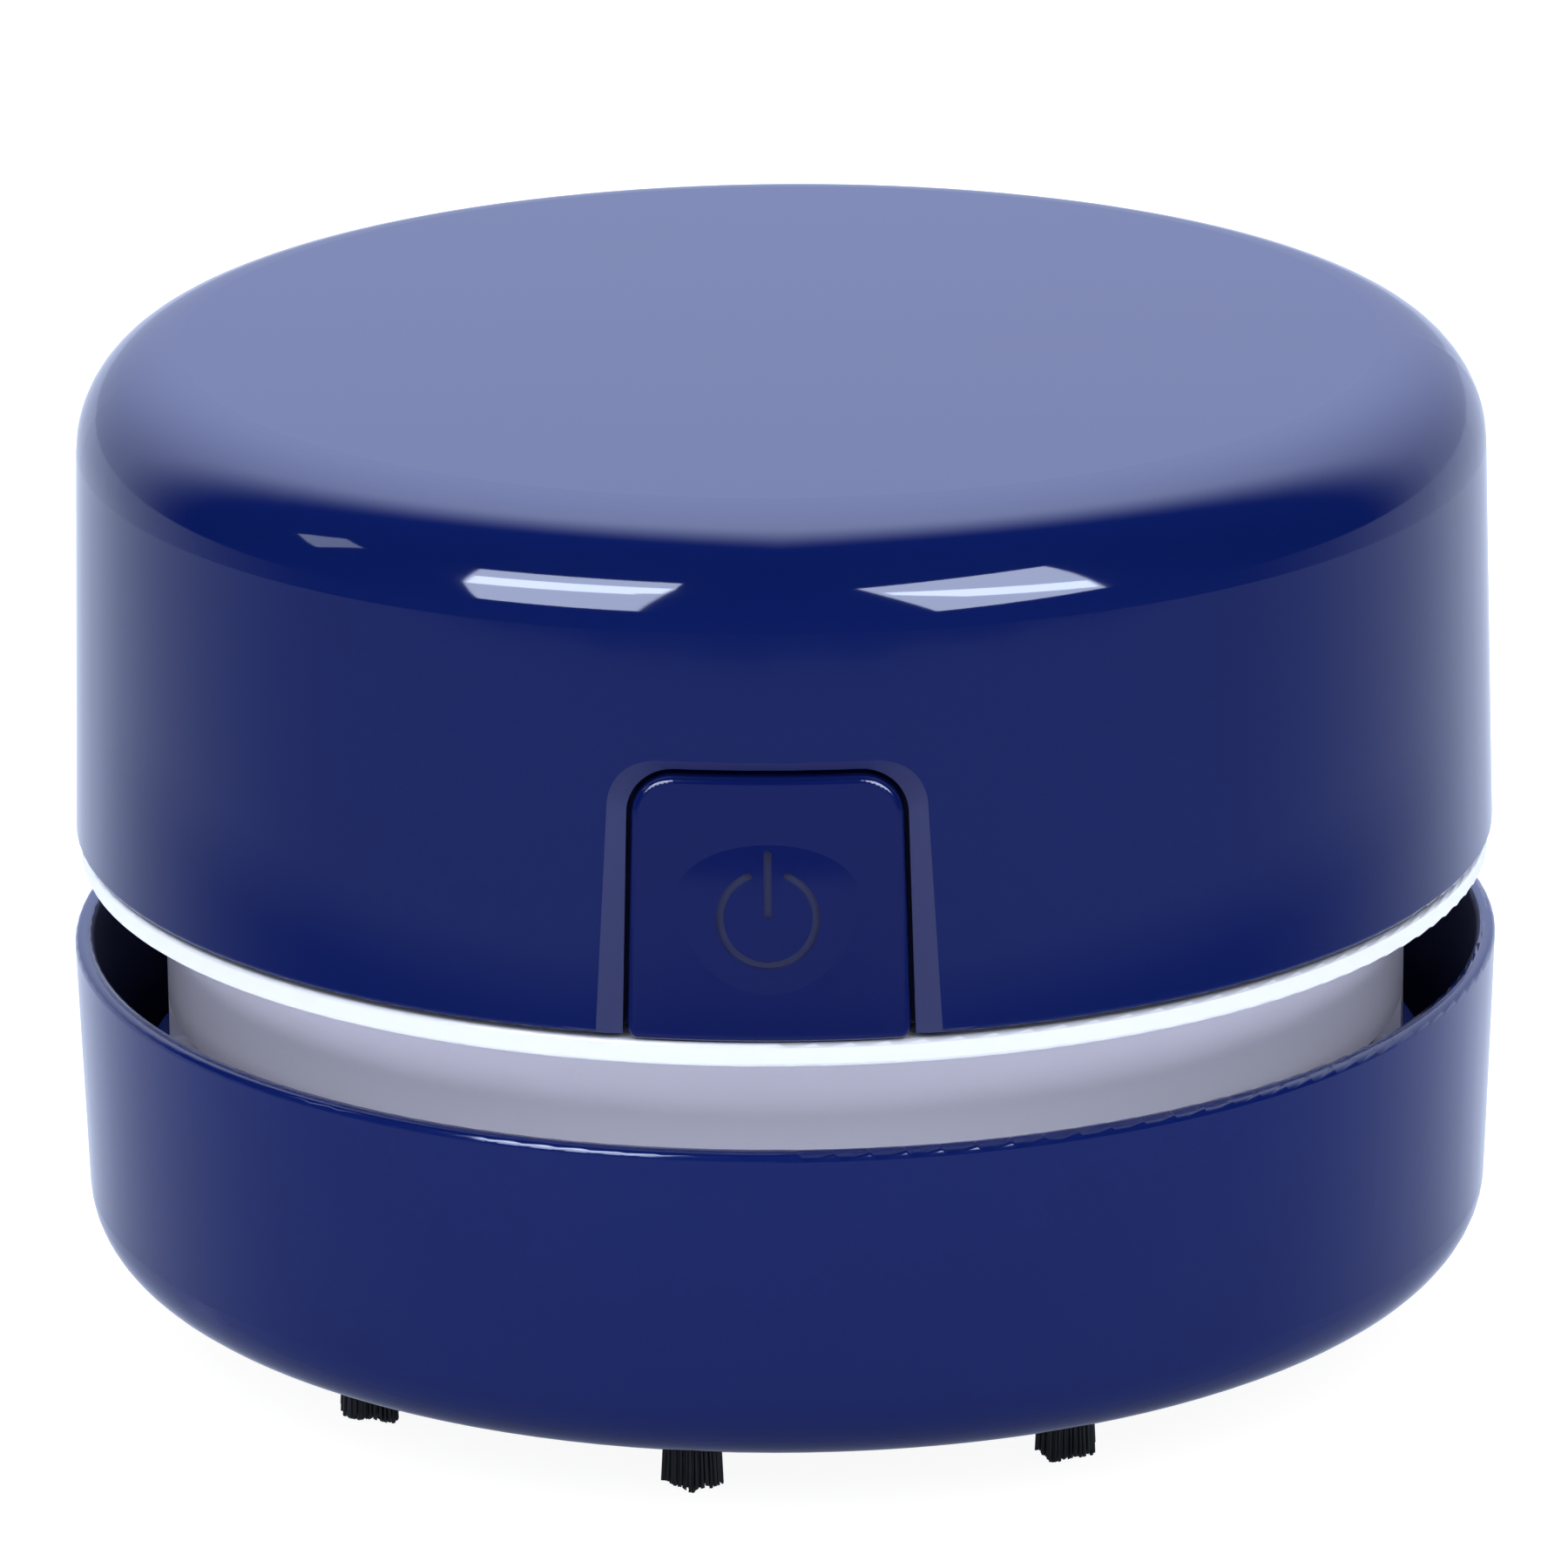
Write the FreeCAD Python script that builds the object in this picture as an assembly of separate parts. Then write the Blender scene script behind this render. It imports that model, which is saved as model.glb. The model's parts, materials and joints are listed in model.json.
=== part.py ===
import FreeCAD, Part

import math
import os
from collections import namedtuple

Vector = FreeCAD.Vector
Screw = namedtuple("Screw", "head_radius head_height shank_radius length slot_width slot_depth sunk")

# Desktop mini vacuum cleaner, in millimetres, +Z up.
# The origin is on the table, on the axis of the round body, under the tips of the bristles.
# The front, with the push button, faces -Y.

# Shared clearances, cut sizes and shares
overrun = 2.0
slide_gap = 0.3
seat_gap = 0.15
shaft_gap = 0.05
solder_gap = 0.1
edge_break = 0.25
head_round_share = 0.33
rim_round_share = 0.45
lip_round_share = 0.33

# Top cover
body_height = 60.5
cover_radius = 42.5
cover_draw = 0.89
cover_fillet = 6.24
cover_wall = 1.8
cover_boss_radius = 3.0
cover_boss_gap = 3.0
cover_boss_azimuths = (22.0, 158.0, 225.0, 315.0)

# White ring, which is the rim of the chassis deck
ring_top = 30.7
ring_inset = 0.3
ring_thickness = 1.4
shadow_gap = 0.35
spigot_height = 2.8
spigot_wall = 1.4

# Button and its notch
button_height = 15.4
button_half_width = 7.5
button_flare = 0.42
button_corner = 2.4
button_foot_corner = 0.6
button_foot_gap = 0.1
button_inset = 0.1
button_edge = 0.42
button_gap = 0.28
button_top_gap = 0.34
button_flange = 1.4
button_flange_thickness = 1.0
button_travel = 1.2
notch_bevel_depth = 0.42
notch_bevel_rise = 0.58
notch_bevel_top = 0.98
notch_bevel_foot = 1.72
notch_bevel_round = 0.15
notch_bevel_steps = 3
notch_reach_shares = 6.0
press_drop = 0.5
stem_radius = 2.4
stem_length = 4.6
dimple_half_width = 5.1
dimple_half_height = 4.35
dimple_upper_height = 3.0
dimple_depth = 0.14
symbol_radius = 2.7
symbol_stroke = 0.44
symbol_depth = 0.3
symbol_gap_angle = 48.0
symbol_bar_reach = 4.0

# Guide wall behind the button, and the switch behind it
guide_setback = 3.7
guide_thickness = 1.2
guide_side = 3.6
guide_crown = 1.9
switch_size = 7.0
switch_depth = 6.5
plunger_size = 3.2
plunger_reach = 3.1
plunger_root = 2.5
switch_board_side = 3.5
switch_board_crown = 3.2
board_thickness = 1.0
switch_post_thickness = 2.2
switch_post_width = 2.0
switch_post_drop = 1.0

# Fan housing and intake plate
cavity_width = 3.75
housing_wall = 1.5
housing_flange_thickness = 1.2
housing_flange_margin = 0.3
window_count = 12
window_angle = 15.0
window_sill = 0.6
window_height = 2.6
plate_thickness = 1.2
eye_radius = 12.0
guard_bars = 6
guard_bar_width = 1.2
guard_hub_radius = 3.0
post_radius = 2.8
post_azimuths = (0.0, 90.0, 180.0, 270.0)

# Motor
motor_radius = 10.05
motor_flat = 7.7
motor_sink = 0.5
motor_roof_gap = 3.4
motor_cap_length = 4.3
motor_can_wall = 0.8
motor_cap_roof = 1.6
motor_boss_radius = 3.05
motor_boss_height = 1.5
bush_radius = 2.0
bush_length = 2.2
magnet_inner_share = 0.67
magnet_length_share = 0.7
magnet_angle = 110.0
terminal_inset = 1.5
terminal_width = 2.2
terminal_thickness = 0.4
terminal_height = 2.4
well_wall = 1.3
well_floor = 1.3
well_height = 6.0
strap_width = 9.0
strap_thickness = 1.4
strap_post_gap = 1.05
strap_post_radius = 2.5

# Rotor
shaft_radius = 1.0
shaft_top_margin = 0.6
shaft_inset = 0.7
core_air_gap = 0.4
core_length_share = 0.45
core_poles = 3
core_hub_radius = 2.2
core_pole_width = 2.0
core_shoe_angle = 84.0
core_shoe_thickness = 1.1
winding_share = 0.42
winding_overhang = 1.4
commutator_radius = 2.1
commutator_length = 2.4
brush_thickness = 0.4
brush_width = 2.0
brush_gap = 0.15
impeller_rim_gap = 1.9
impeller_disc_thickness = 1.2
impeller_hub_radius = 4.0
impeller_hub_rise = 0.5
impeller_hub_gap = 0.4
impeller_eye_radius = 9.0
impeller_blades = 9
impeller_blade_thickness = 1.0
impeller_running_gap = 0.5
impeller_sweep = 34.0
impeller_bow_share = 0.62

# Battery cell across the back, between the motor and the charge board
cell_motor_gap = 2.8
cell_board_gap = 1.5
cell_end_room = 5.68
cell_lift = 0.6
cell_edge = 0.8
tab_thickness = 0.25
tab_width = 5.0
tab_margin = 2.1
solder_height_share = 0.25
cradle_inset = 9.5
cradle_thickness = 1.6
cradle_wall = 1.2
cradle_gap = 0.1

# Charge board at the back
socket_recess = 3.1
socket_overhang = 1.8
socket_width = 8.94
socket_height = 3.26
socket_depth = 7.35
socket_wall = 0.35
socket_cavity_depth = 6.2
socket_slot_margin = 0.6
board_depth = 11.4
board_half_width = 9.0
board_lift = 2.7
board_screw_inset = 2.2
standoff_radius = 2.1
tongue_width = 6.6
tongue_thickness = 0.7
tongue_depth = 5.0
chip_width = 4.9
chip_depth = 3.9
chip_height = 1.5
chip_inset = 0.45
light_gap = 2.53
light_size = 1.6
light_pipe_radius = 0.9
small_part_width = 1.6
small_part_depth = 0.8
small_part_height = 0.6
small_part_gap = 1.4
small_part_rows = 3

# Leads; a route's shares are those of the reach to the side, of the way back to front and of the height,
# where 1 is the cell's top and 2 is the cover's roof
lead_radius = 0.6
lead_bend_share = 0.45
lead_pad_place = 3.7
lead_pad_gap = 1.05
battery_pad_inset = 1.6
battery_pad_setback = 1.4
switch_pad_place = 4.0
switch_pad_drop = 2.0
back_lead_run = 5.0
front_lead_run = 7.1
switch_lead_gap = 4.3
battery_lead_shares = ((1.0, 0.034, 1.114), (0.884, 0.432, 1.379), (0.589, 0.905, 1.227), (0.338, 1.0, 0.831))
back_lead_shares = ((1.0, 0.0, 0.831), (1.243, 0.163, 1.379), (0.811, 0.51, 1.682))
front_lead_shares = ((1.0, 0.309, 0.392), (1.2, 0.548, 0.73), (1.0, 0.58, 1.152))
switch_lead_shares = ((0.19, 0.0, 0.831), (0.415, 0.071, 1.303), (0.829, 0.231, 1.341), (1.0, 0.462, 1.189),
                      (0.927, 0.693, 0.797), (0.561, 0.844, 0.459), (0.224, 0.885, 0.358))

# Filter
ledge_width = 1.7
ledge_height = 4.95
filter_seal_thickness = 0.75
filter_ring_width = 1.9
filter_height = 2.5
filter_pad_thickness = 1.3
filter_spokes = 6
filter_spoke_width = 1.4
filter_spoke_thickness = 1.0
filter_knob_radius = 3.0
filter_knob_gap = 0.6

# Dust cup
cup_rim_flare = 0.3
cup_draw = 0.6
cup_wall = 1.15
cup_floor = 1.5
cup_fillet = 4.25
exhaust_gap = 4.9
collar_wall = 1.2
collar_edge = 0.9
collar_window_gap = 2.5
support_ribs = 12
support_rib_width = 1.2
support_height = 3.0
mouth_radius = 8.0
chimney_wall = 1.2
chimney_foot_margin = 1.0
chimney_foot_thickness = 0.8

# Bristle tufts
tuft_count = 9
tuft_first_angle = -8.7
tuft_inset = 10.0
tuft_height = 4.85
tuft_root_radius = 1.5
tuft_neck_radius = 1.7
tuft_tip_radius = 1.9
tuft_socket_depth = 2.2
tuft_boss_wall = 1.2

# Screws; the shares are of the shank's radius
pan_head_share = 2.1
pan_height_share = 1.4
sunk_head_share = 2.2
sunk_height_share = 1.0
slot_width_share = 0.6
slot_depth_share = 0.65
cover_screw_radius = 1.0
cover_screw_length = 9.0
housing_screw_radius = 1.0
housing_screw_length = 8.0
strap_screw_radius = 0.8
strap_screw_length = 6.0
board_screw_radius = 0.7
board_screw_length = 3.4


def screw_size(shank_radius, length, sunk):
    """Return a screw's sizes; a sunk head is a cone, and the other kind is a pan head."""
    head_share = sunk_head_share if sunk else pan_head_share
    height_share = sunk_height_share if sunk else pan_height_share
    return Screw(shank_radius * head_share, shank_radius * height_share, shank_radius, length,
                 shank_radius * slot_width_share, shank_radius * slot_depth_share, sunk)


cover_screw = screw_size(cover_screw_radius, cover_screw_length, False)
housing_screw = screw_size(housing_screw_radius, housing_screw_length, True)
strap_screw = screw_size(strap_screw_radius, strap_screw_length, False)
board_screw = screw_size(board_screw_radius, board_screw_length, False)

# Radii and places across the body, from the cover inward
ring_radius = cover_radius - ring_inset
spigot_radius = cover_radius - cover_wall - slide_gap
spigot_inner_radius = spigot_radius - spigot_wall
cover_boss_circle = spigot_inner_radius - cover_boss_gap - cover_boss_radius
cup_rim_radius = cover_radius + cup_rim_flare
cup_foot_radius = cup_rim_radius - cup_draw
housing_radius = cup_foot_radius - cup_wall - cavity_width
housing_inner_radius = housing_radius - housing_wall
collar_radius = housing_radius + slide_gap
ledge_radius = housing_inner_radius - slide_gap
ledge_inner_radius = ledge_radius - ledge_width
filter_radius = ledge_radius - seat_gap
tuft_circle = cup_foot_radius - tuft_inset
chimney_foot_radius = mouth_radius + chimney_wall + chimney_foot_margin
post_circle = housing_inner_radius - slide_gap - post_radius
housing_flange_radius = post_circle - housing_screw.head_radius - housing_flange_margin
guard_ring_radius = (eye_radius + guard_hub_radius) / 2
impeller_radius = post_circle - post_radius - impeller_rim_gap
magnet_inner_radius = (motor_radius - motor_can_wall) * magnet_inner_share
core_radius = magnet_inner_radius - core_air_gap
winding_thickness = (core_radius - core_shoe_thickness - core_hub_radius) * winding_share
terminal_place = motor_flat - terminal_inset
strap_post_place = motor_radius + strap_post_gap + strap_post_radius
strap_half_length = strap_post_place + strap_post_radius + cradle_gap

# Heights, from the table up
cup_bottom = tuft_height
cup_floor_top = cup_bottom + cup_floor
tuft_root_top = tuft_height + tuft_socket_depth
support_top = cup_floor_top + support_height
housing_bottom = support_top + seat_gap
ledge_top = cup_floor_top + ledge_height
filter_bottom = ledge_top + seat_gap
filter_frame_bottom = filter_bottom + filter_seal_thickness
housing_flange_bottom = filter_frame_bottom + filter_height + slide_gap
flange_top = housing_flange_bottom + housing_flange_thickness
filter_knob_top = flange_top - filter_knob_gap
plate_top = flange_top + plate_thickness
window_bottom = plate_top + window_sill
window_top = window_bottom + window_height
collar_top = window_bottom - collar_window_gap
deck_bottom = ring_top - ring_thickness
cup_rim_top = deck_bottom - exhaust_gap
motor_bottom = deck_bottom - motor_sink
impeller_bottom = plate_top + impeller_running_gap
impeller_disc_top = motor_bottom - motor_boss_height - impeller_hub_gap - impeller_hub_rise
shaft_bottom = impeller_bottom + shaft_inset
cover_bottom = ring_top + shadow_gap
cover_taper = cover_draw / (body_height - cover_bottom)
cover_inner_top = body_height - cover_wall
strap_top = cover_inner_top - motor_roof_gap
motor_top = strap_top - strap_thickness
motor_can_top = motor_top - motor_cap_length
motor_can_length = motor_can_top - motor_bottom
magnet_length = (motor_can_length - motor_can_wall) * magnet_length_share
core_length = (motor_can_length - motor_can_wall) * core_length_share
lead_end_height = motor_top + terminal_height / 2 + lead_radius
button_bottom = ring_top + button_foot_gap
button_top = button_bottom + button_height
press_height = (button_bottom + button_top) / 2 - press_drop
symbol_bar_top = press_height + symbol_bar_reach
guide_top = press_height + stem_radius + guide_crown
switch_board_top = press_height + switch_size / 2 + switch_board_crown
switch_post_top = switch_board_top - switch_post_drop
board_top = ring_top + board_lift + board_thickness
light_pipe_height = board_top + light_size / 2

# Places from front to back
notch_plane = cover_radius - cover_wall
button_half_width_top = button_half_width
button_half_width_bottom = button_half_width + button_flare
notch_half_width_top = button_half_width_top + button_gap
notch_half_width_bottom = button_half_width_bottom + button_gap
notch_top = button_top + button_top_gap
notch_corner = button_corner + button_gap
notch_bevel_turn = math.degrees(math.asin(notch_half_width_bottom / cover_radius)) / notch_bevel_steps
guide_front = notch_plane - guide_setback
guide_back = guide_front - guide_thickness
guide_half_width = stem_radius + guide_side
stem_end = notch_plane - stem_length
plunger_front = stem_end - solder_gap
switch_front = plunger_front - plunger_reach
switch_back = switch_front - switch_depth
switch_board_back = switch_back - board_thickness
switch_board_width = switch_size + 2 * switch_board_side
socket_back = cover_radius - socket_recess
socket_front = socket_back - socket_depth
board_back = socket_back - socket_overhang
board_front = board_back - board_depth
board_screw_depth = board_front + standoff_radius
board_screw_place = board_half_width - board_screw_inset
chip_centre = board_front + chip_inset + chip_depth / 2
light_place = socket_width / 2 + light_gap
lead_row = socket_front - lead_pad_gap
battery_pad_place = board_half_width - battery_pad_inset
battery_pad_row = lead_row + battery_pad_setback
cell_front = motor_flat + cell_motor_gap
cell_back = board_front - cell_board_gap
cell_radius = (cell_back - cell_front) / 2
cell_centre = (cell_front + cell_back) / 2
cell_length = 2 * (math.sqrt(spigot_inner_radius ** 2 - cell_back ** 2) - cell_end_room)
cell_height = ring_top + cell_lift + cell_radius
cell_top = cell_height + cell_radius
tab_height = 2 * (cell_radius - tab_margin)
cradle_place = cell_length / 2 - cradle_inset
switch_lead_side = strap_half_length + switch_lead_gap


def cylinder(radius, bottom, top, x=0, y=0):
    """Return an upright cylinder."""
    return Part.makeCylinder(radius, top - bottom, Vector(x, y, bottom))


def tube(outer, inner, bottom, top):
    """Return an upright tube on the body's axis."""
    return cylinder(outer, bottom, top).cut(cylinder(inner, bottom - overrun, top + overrun))


def box(x_low, x_high, y_low, y_high, z_low, z_high):
    """Return a box between two corners."""
    return Part.makeBox(x_high - x_low, y_high - y_low, z_high - z_low, Vector(x_low, y_low, z_low))


def turned(shape, angle):
    """Return a copy of the shape turned about the body's axis."""
    copy = shape.copy()
    copy.rotate(Vector(0, 0, 0), Vector(0, 0, 1), angle)
    return copy


def mirrored(shape):
    """Return the shape mirrored from +X to -X."""
    return shape.mirror(Vector(0, 0, 0), Vector(1, 0, 0))


def place(circle, azimuth):
    """Return x and y of a point on a circle about the axis; azimuth runs from +X."""
    angle = math.radians(azimuth)
    return circle * math.cos(angle), circle * math.sin(angle)


def fused(shapes):
    """Return the shapes joined into one solid."""
    return shapes[0].multiFuse(shapes[1:]).removeSplitter()


def rounded_wire(points, radii, closed):
    """Return a wire of straight runs with a tangent arc at each point that has a radius."""
    count = len(points)
    cuts = []
    for index, point in enumerate(points):
        inner = closed or 0 < index < count - 1
        radius = radii[index] if inner else 0
        if not radius:
            cuts.append((point, None, point))
            continue
        back = (points[index - 1] - point).normalize()
        ahead = (points[(index + 1) % count] - point).normalize()
        half = back.getAngle(ahead) / 2
        reach = radius / math.tan(half)
        middle = (back + ahead).normalize() * (radius / math.sin(half) - radius)
        cuts.append((point + back * reach, point + middle, point + ahead * reach))
    edges = []
    for index, (enter, middle, leave) in enumerate(cuts):
        if middle is not None:
            edges.append(Part.Arc(enter, middle, leave).toShape())
        if closed or index < count - 1:
            follow = cuts[(index + 1) % count][0]
            edges.append(Part.LineSegment(leave, follow).toShape())
    return Part.Wire(edges)


def wedge(reach, angle, low, high):
    """Return an upright wedge that opens from the axis towards +X by the angle."""
    spread = reach * math.tan(math.radians(angle / 2))
    points = [Vector(0, 0, low), Vector(reach, -spread, low), Vector(reach, spread, low)]
    return Part.Face(Part.makePolygon(points + points[:1])).extrude(Vector(0, 0, high - low))


def cover_cone(offset, bottom=None, top=None):
    """Return the solid inside the cover's tapered outer surface, moved inward by offset."""
    low = cover_bottom if bottom is None else bottom
    high = body_height if top is None else top
    low_radius = cover_radius - cover_taper * (low - cover_bottom) - offset
    high_radius = cover_radius - cover_taper * (high - cover_bottom) - offset
    return Part.makeCone(low_radius, high_radius, high - low, Vector(0, 0, low))


def arch_wire(half_bottom, half_top, bottom, top, corner, foot_corner, depth):
    """Return the closed outline of a tapered plate with round top corners, in the plane y = -depth."""
    points = [Vector(-half_bottom, -depth, bottom), Vector(-half_top, -depth, top)]
    points += [Vector(half_top, -depth, top), Vector(half_bottom, -depth, bottom)]
    return rounded_wire(points, (foot_corner, corner, corner, foot_corner), True)


def arch_prism(half_bottom, half_top, bottom, top, corner, foot_corner, front, back):
    """Return that outline drawn out along Y, from y = -front to y = -back."""
    wire = arch_wire(half_bottom, half_top, bottom, top, corner, foot_corner, front)
    return Part.Face(wire).extrude(Vector(0, front - back, 0))


def screw(size, x, y, seat, direction):
    """Return a screw whose shank runs from its seat along +Z or -Z, by the sign of direction."""
    seat_in = seat + size.head_height if size.sunk else seat
    head_start = seat_in - size.head_height
    shank = cylinder(size.shank_radius, seat_in, seat_in + size.length)
    if size.sunk:
        head = Part.makeCone(size.head_radius, size.shank_radius, size.head_height, Vector(0, 0, head_start))
    else:
        head = cylinder(size.head_radius, head_start, seat_in)
        rim = [edge for edge in head.Edges if abs(edge.BoundBox.ZMax - head_start) < size.slot_width / 2]
        head = head.makeFillet(size.head_height * head_round_share, [rim[0]])
    half = size.head_radius - size.slot_width
    slot = box(-half, half, -size.slot_width / 2, size.slot_width / 2, head_start - overrun,
               head_start + size.slot_depth)
    body = fused([head, shank]).cut(slot).cut(turned(slot, 90))
    if direction < 0:
        body = body.mirror(Vector(0, 0, seat), Vector(0, 0, 1))
    body.translate(Vector(x, y, 0))
    return body


def screw_hole(size, x, y, bottom, top):
    """Return the cutter for a hole that a screw's shank passes through."""
    return cylinder(size.shank_radius + shaft_gap, bottom, top, x, y)


def cover_shell():
    """Return the cover's closed shell: tapered wall, round shoulder and flat top."""
    outer = cover_cone(0)
    rim = [edge for edge in outer.Edges if edge.BoundBox.ZMin > body_height - edge_break]
    outer = outer.makeFillet(cover_fillet, rim)
    shell = outer.cut(cover_room(0, cover_bottom - overrun))
    foot = [edge for edge in shell.Edges if edge.BoundBox.ZMax < cover_bottom + edge_break
            and edge.BoundBox.XMax > cover_radius - cover_wall / 2]
    return shell.makeFillet(edge_break, foot)


def cover_room(margin, bottom):
    """Return the room inside the cover, made smaller all round by a margin."""
    top = cover_inner_top - margin
    room = cover_cone(cover_wall + margin, bottom, top)
    rim = [edge for edge in room.Edges if edge.BoundBox.ZMin > top - edge_break]
    return room.makeFillet(cover_fillet - cover_wall - margin, rim)


def notch_hole():
    """Return the straight cutter of the button's notch."""
    taper = (notch_half_width_bottom - notch_half_width_top) / (notch_top - cover_bottom)
    half_low = notch_half_width_bottom + taper * overrun
    return arch_prism(half_low, notch_half_width_top, cover_bottom - overrun, notch_top, notch_corner, 0,
                      cover_radius + overrun, notch_plane - cover_wall - overrun)


def notch_bevel(turn):
    """Return the cutter that bevels the notch where the wall faces this many degrees off the front."""
    facing = math.cos(math.radians(turn))
    depth = (cover_radius + cover_taper * cover_bottom - notch_bevel_depth) / facing
    low = cover_bottom - overrun
    shares = notch_reach_shares
    inner = arch_wire(notch_half_width_bottom, notch_half_width_top, low, notch_top, notch_corner, 0, depth)
    outer = arch_wire(notch_half_width_bottom + notch_bevel_foot * shares,
                      notch_half_width_top + notch_bevel_top * shares,
                      low, notch_top + notch_bevel_rise * shares,
                      notch_corner + notch_bevel_round * shares, 0, depth + notch_bevel_depth * shares)
    lean = FreeCAD.Matrix()
    lean.A21 = math.tan(math.radians(turn))
    lean.A23 = cover_taper / facing
    return Part.makeLoft([inner, outer], True, True).transformGeometry(lean)


def bevelled_notch(cover):
    """Return the cover with the button's notch, bevelled along its arch and its sides."""
    cover = cover.cut(notch_hole())
    for step in range(-notch_bevel_steps, notch_bevel_steps + 1):
        cover = cover.cut(notch_bevel(notch_bevel_turn * step))
    return cover


def make_top_cover():
    """Return the cover with its notch, screw bosses, socket slot and light hole."""
    cover = cover_shell()
    bosses = []
    holes = []
    for azimuth in cover_boss_azimuths:
        x, y = place(cover_boss_circle, azimuth)
        bosses.append(cylinder(cover_boss_radius, ring_top, body_height - cover_wall / 2, x, y))
        holes.append(screw_hole(cover_screw, x, y, ring_top - overrun,
                                deck_bottom + cover_screw.length + overrun))
    cover = bevelled_notch(fused([cover] + bosses))
    for hole in holes:
        cover = cover.cut(hole)
    slot_width = socket_width + 2 * socket_slot_margin
    slot_height = socket_height + 2 * socket_slot_margin
    middle = board_top + socket_height / 2
    cover = cover.cut(obround(slot_width, slot_height, middle, socket_back - overrun, cover_radius + overrun))
    light = Part.makeCylinder(light_pipe_radius + shaft_gap, cover_radius - board_back + overrun,
                              Vector(light_place, board_back, light_pipe_height), Vector(0, 1, 0))
    return cover.cut(light)


def obround(width, height, middle, near, far):
    """Return a flat slot with round ends, drawn out along Y from near to far."""
    half = width / 2
    corner = (height - edge_break) / 2
    points = [Vector(-half, near, middle - height / 2), Vector(half, near, middle - height / 2)]
    points += [Vector(half, near, middle + height / 2), Vector(-half, near, middle + height / 2)]
    wire = rounded_wire(points, (corner,) * len(points), True)
    return Part.Face(wire).extrude(Vector(0, far - near, 0))


def power_symbol():
    """Return the cutter of the power symbol: a broken ring and a bar."""
    half = symbol_stroke / 2
    length = cover_radius + overrun
    ring = Part.makeCylinder(symbol_radius + half, length, Vector(0, 0, 0), Vector(0, 1, 0))
    ring = ring.cut(Part.makeCylinder(symbol_radius - half, length, Vector(0, 0, 0), Vector(0, 1, 0)))
    gap = wedge(symbol_radius + symbol_stroke, symbol_gap_angle, 0, length)
    gap.rotate(Vector(0, 0, 0), Vector(0, 1, 0), -90)
    gap.rotate(Vector(0, 0, 0), Vector(0, 0, 1), -90)
    ring = ring.cut(gap)
    ends = []
    for side in (-1, 1):
        angle = math.radians(symbol_gap_angle / 2) * side
        end = Vector(symbol_radius * math.sin(angle), 0, symbol_radius * math.cos(angle))
        ends.append(Part.makeCylinder(half, length, end, Vector(0, 1, 0)))
    bar_length = symbol_bar_top - press_height - symbol_stroke
    bar = box(-half, half, 0, length, half, half + bar_length)
    for end in (half, half + bar_length):
        ends.append(Part.makeCylinder(half, length, Vector(0, 0, end), Vector(0, 1, 0)))
    symbol = fused([ring, bar] + ends)
    symbol.translate(Vector(0, -length, press_height))
    return symbol


def make_button():
    """Return the button: plate with dimple and symbol, flange behind the cover and press stem."""
    plate = arch_prism(button_half_width_bottom, button_half_width_top, button_bottom, button_top,
                       button_corner, button_foot_corner, cover_radius + overrun, stem_end)
    face_offset = button_inset
    back_offset = cover_wall + slide_gap
    low = ring_top
    plate = plate.common(cover_cone(face_offset, low)).cut(cover_cone(back_offset, low - overrun))
    front = [edge for edge in plate.Edges if edge.BoundBox.Center.y < -notch_plane
             and on_cover_cone(edge, face_offset)]
    plate = plate.makeFillet(button_edge, front)
    flange = arch_prism(notch_half_width_bottom + button_flange, notch_half_width_top + button_flange,
                        cover_bottom, notch_top + button_flange, button_corner + button_flange, 0,
                        cover_radius + overrun, guide_back)
    flange = flange.common(cover_room(slide_gap, low))
    flange = flange.cut(cover_cone(back_offset + button_flange_thickness, low - overrun))
    stem_front = notch_plane - button_flange_thickness / 2
    stem = Part.makeCylinder(stem_radius, stem_front - stem_end, Vector(0, -stem_front, press_height),
                             Vector(0, 1, 0))
    button = fused([plate, flange, stem])
    face_radius = cover_radius - cover_taper * (press_height - cover_bottom) - face_offset
    grooves = power_symbol().cut(cover_cone(face_offset + dimple_depth + symbol_depth, low - overrun))
    return button.cut(dimple(face_radius)).cut(grooves)


def dimple(face_radius):
    """Return the cutter of the finger dimple, which is steep above and gentle below."""
    deepest = Vector(0, dimple_depth - face_radius, press_height + dimple_half_height - dimple_upper_height)
    arcs = []
    for height in (dimple_upper_height, dimple_upper_height - 2 * dimple_half_height):
        radius = (height ** 2 + dimple_depth ** 2) / (2 * dimple_depth)
        end = math.copysign(math.acos((radius - dimple_depth - button_inset) / radius), height)
        points = [deepest + Vector(0, radius * (math.cos(angle) - 1), radius * math.sin(angle))
                  for angle in (0, end / 2, end)]
        arcs.append(Part.Arc(*points).toShape())
    front = Part.LineSegment(arcs[0].Vertexes[-1].Point, arcs[1].Vertexes[-1].Point).toShape()
    profile = Part.Face(Part.Wire([arcs[0], front, arcs[1]]))
    side_radius = 1 / (1 / face_radius - 2 * dimple_depth / dimple_half_width ** 2)
    axis = deepest + Vector(0, side_radius, 0)
    spread = math.degrees(2 * dimple_half_width / side_radius)
    profile.rotate(axis, Vector(0, 0, 1), -spread)
    cutter = profile.revolve(axis, Vector(0, 0, 1), 2 * spread)
    lean = math.degrees(math.atan(cover_taper))
    cutter.rotate(Vector(0, -face_radius, press_height), Vector(1, 0, 0), -lean)
    return cutter


def on_cover_cone(edge, offset):
    """Tell whether an edge lies on the cover's outer cone moved inward by offset."""
    first = edge.FirstParameter
    span = edge.LastParameter - first
    for share in (0.1, 0.5, 0.9):
        point = edge.valueAt(first + span * share)
        radius = cover_radius - cover_taper * (point.z - cover_bottom) - offset
        if abs(math.hypot(point.x, point.y) - radius) > shaft_gap / 5:
            return False
    return True


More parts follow.
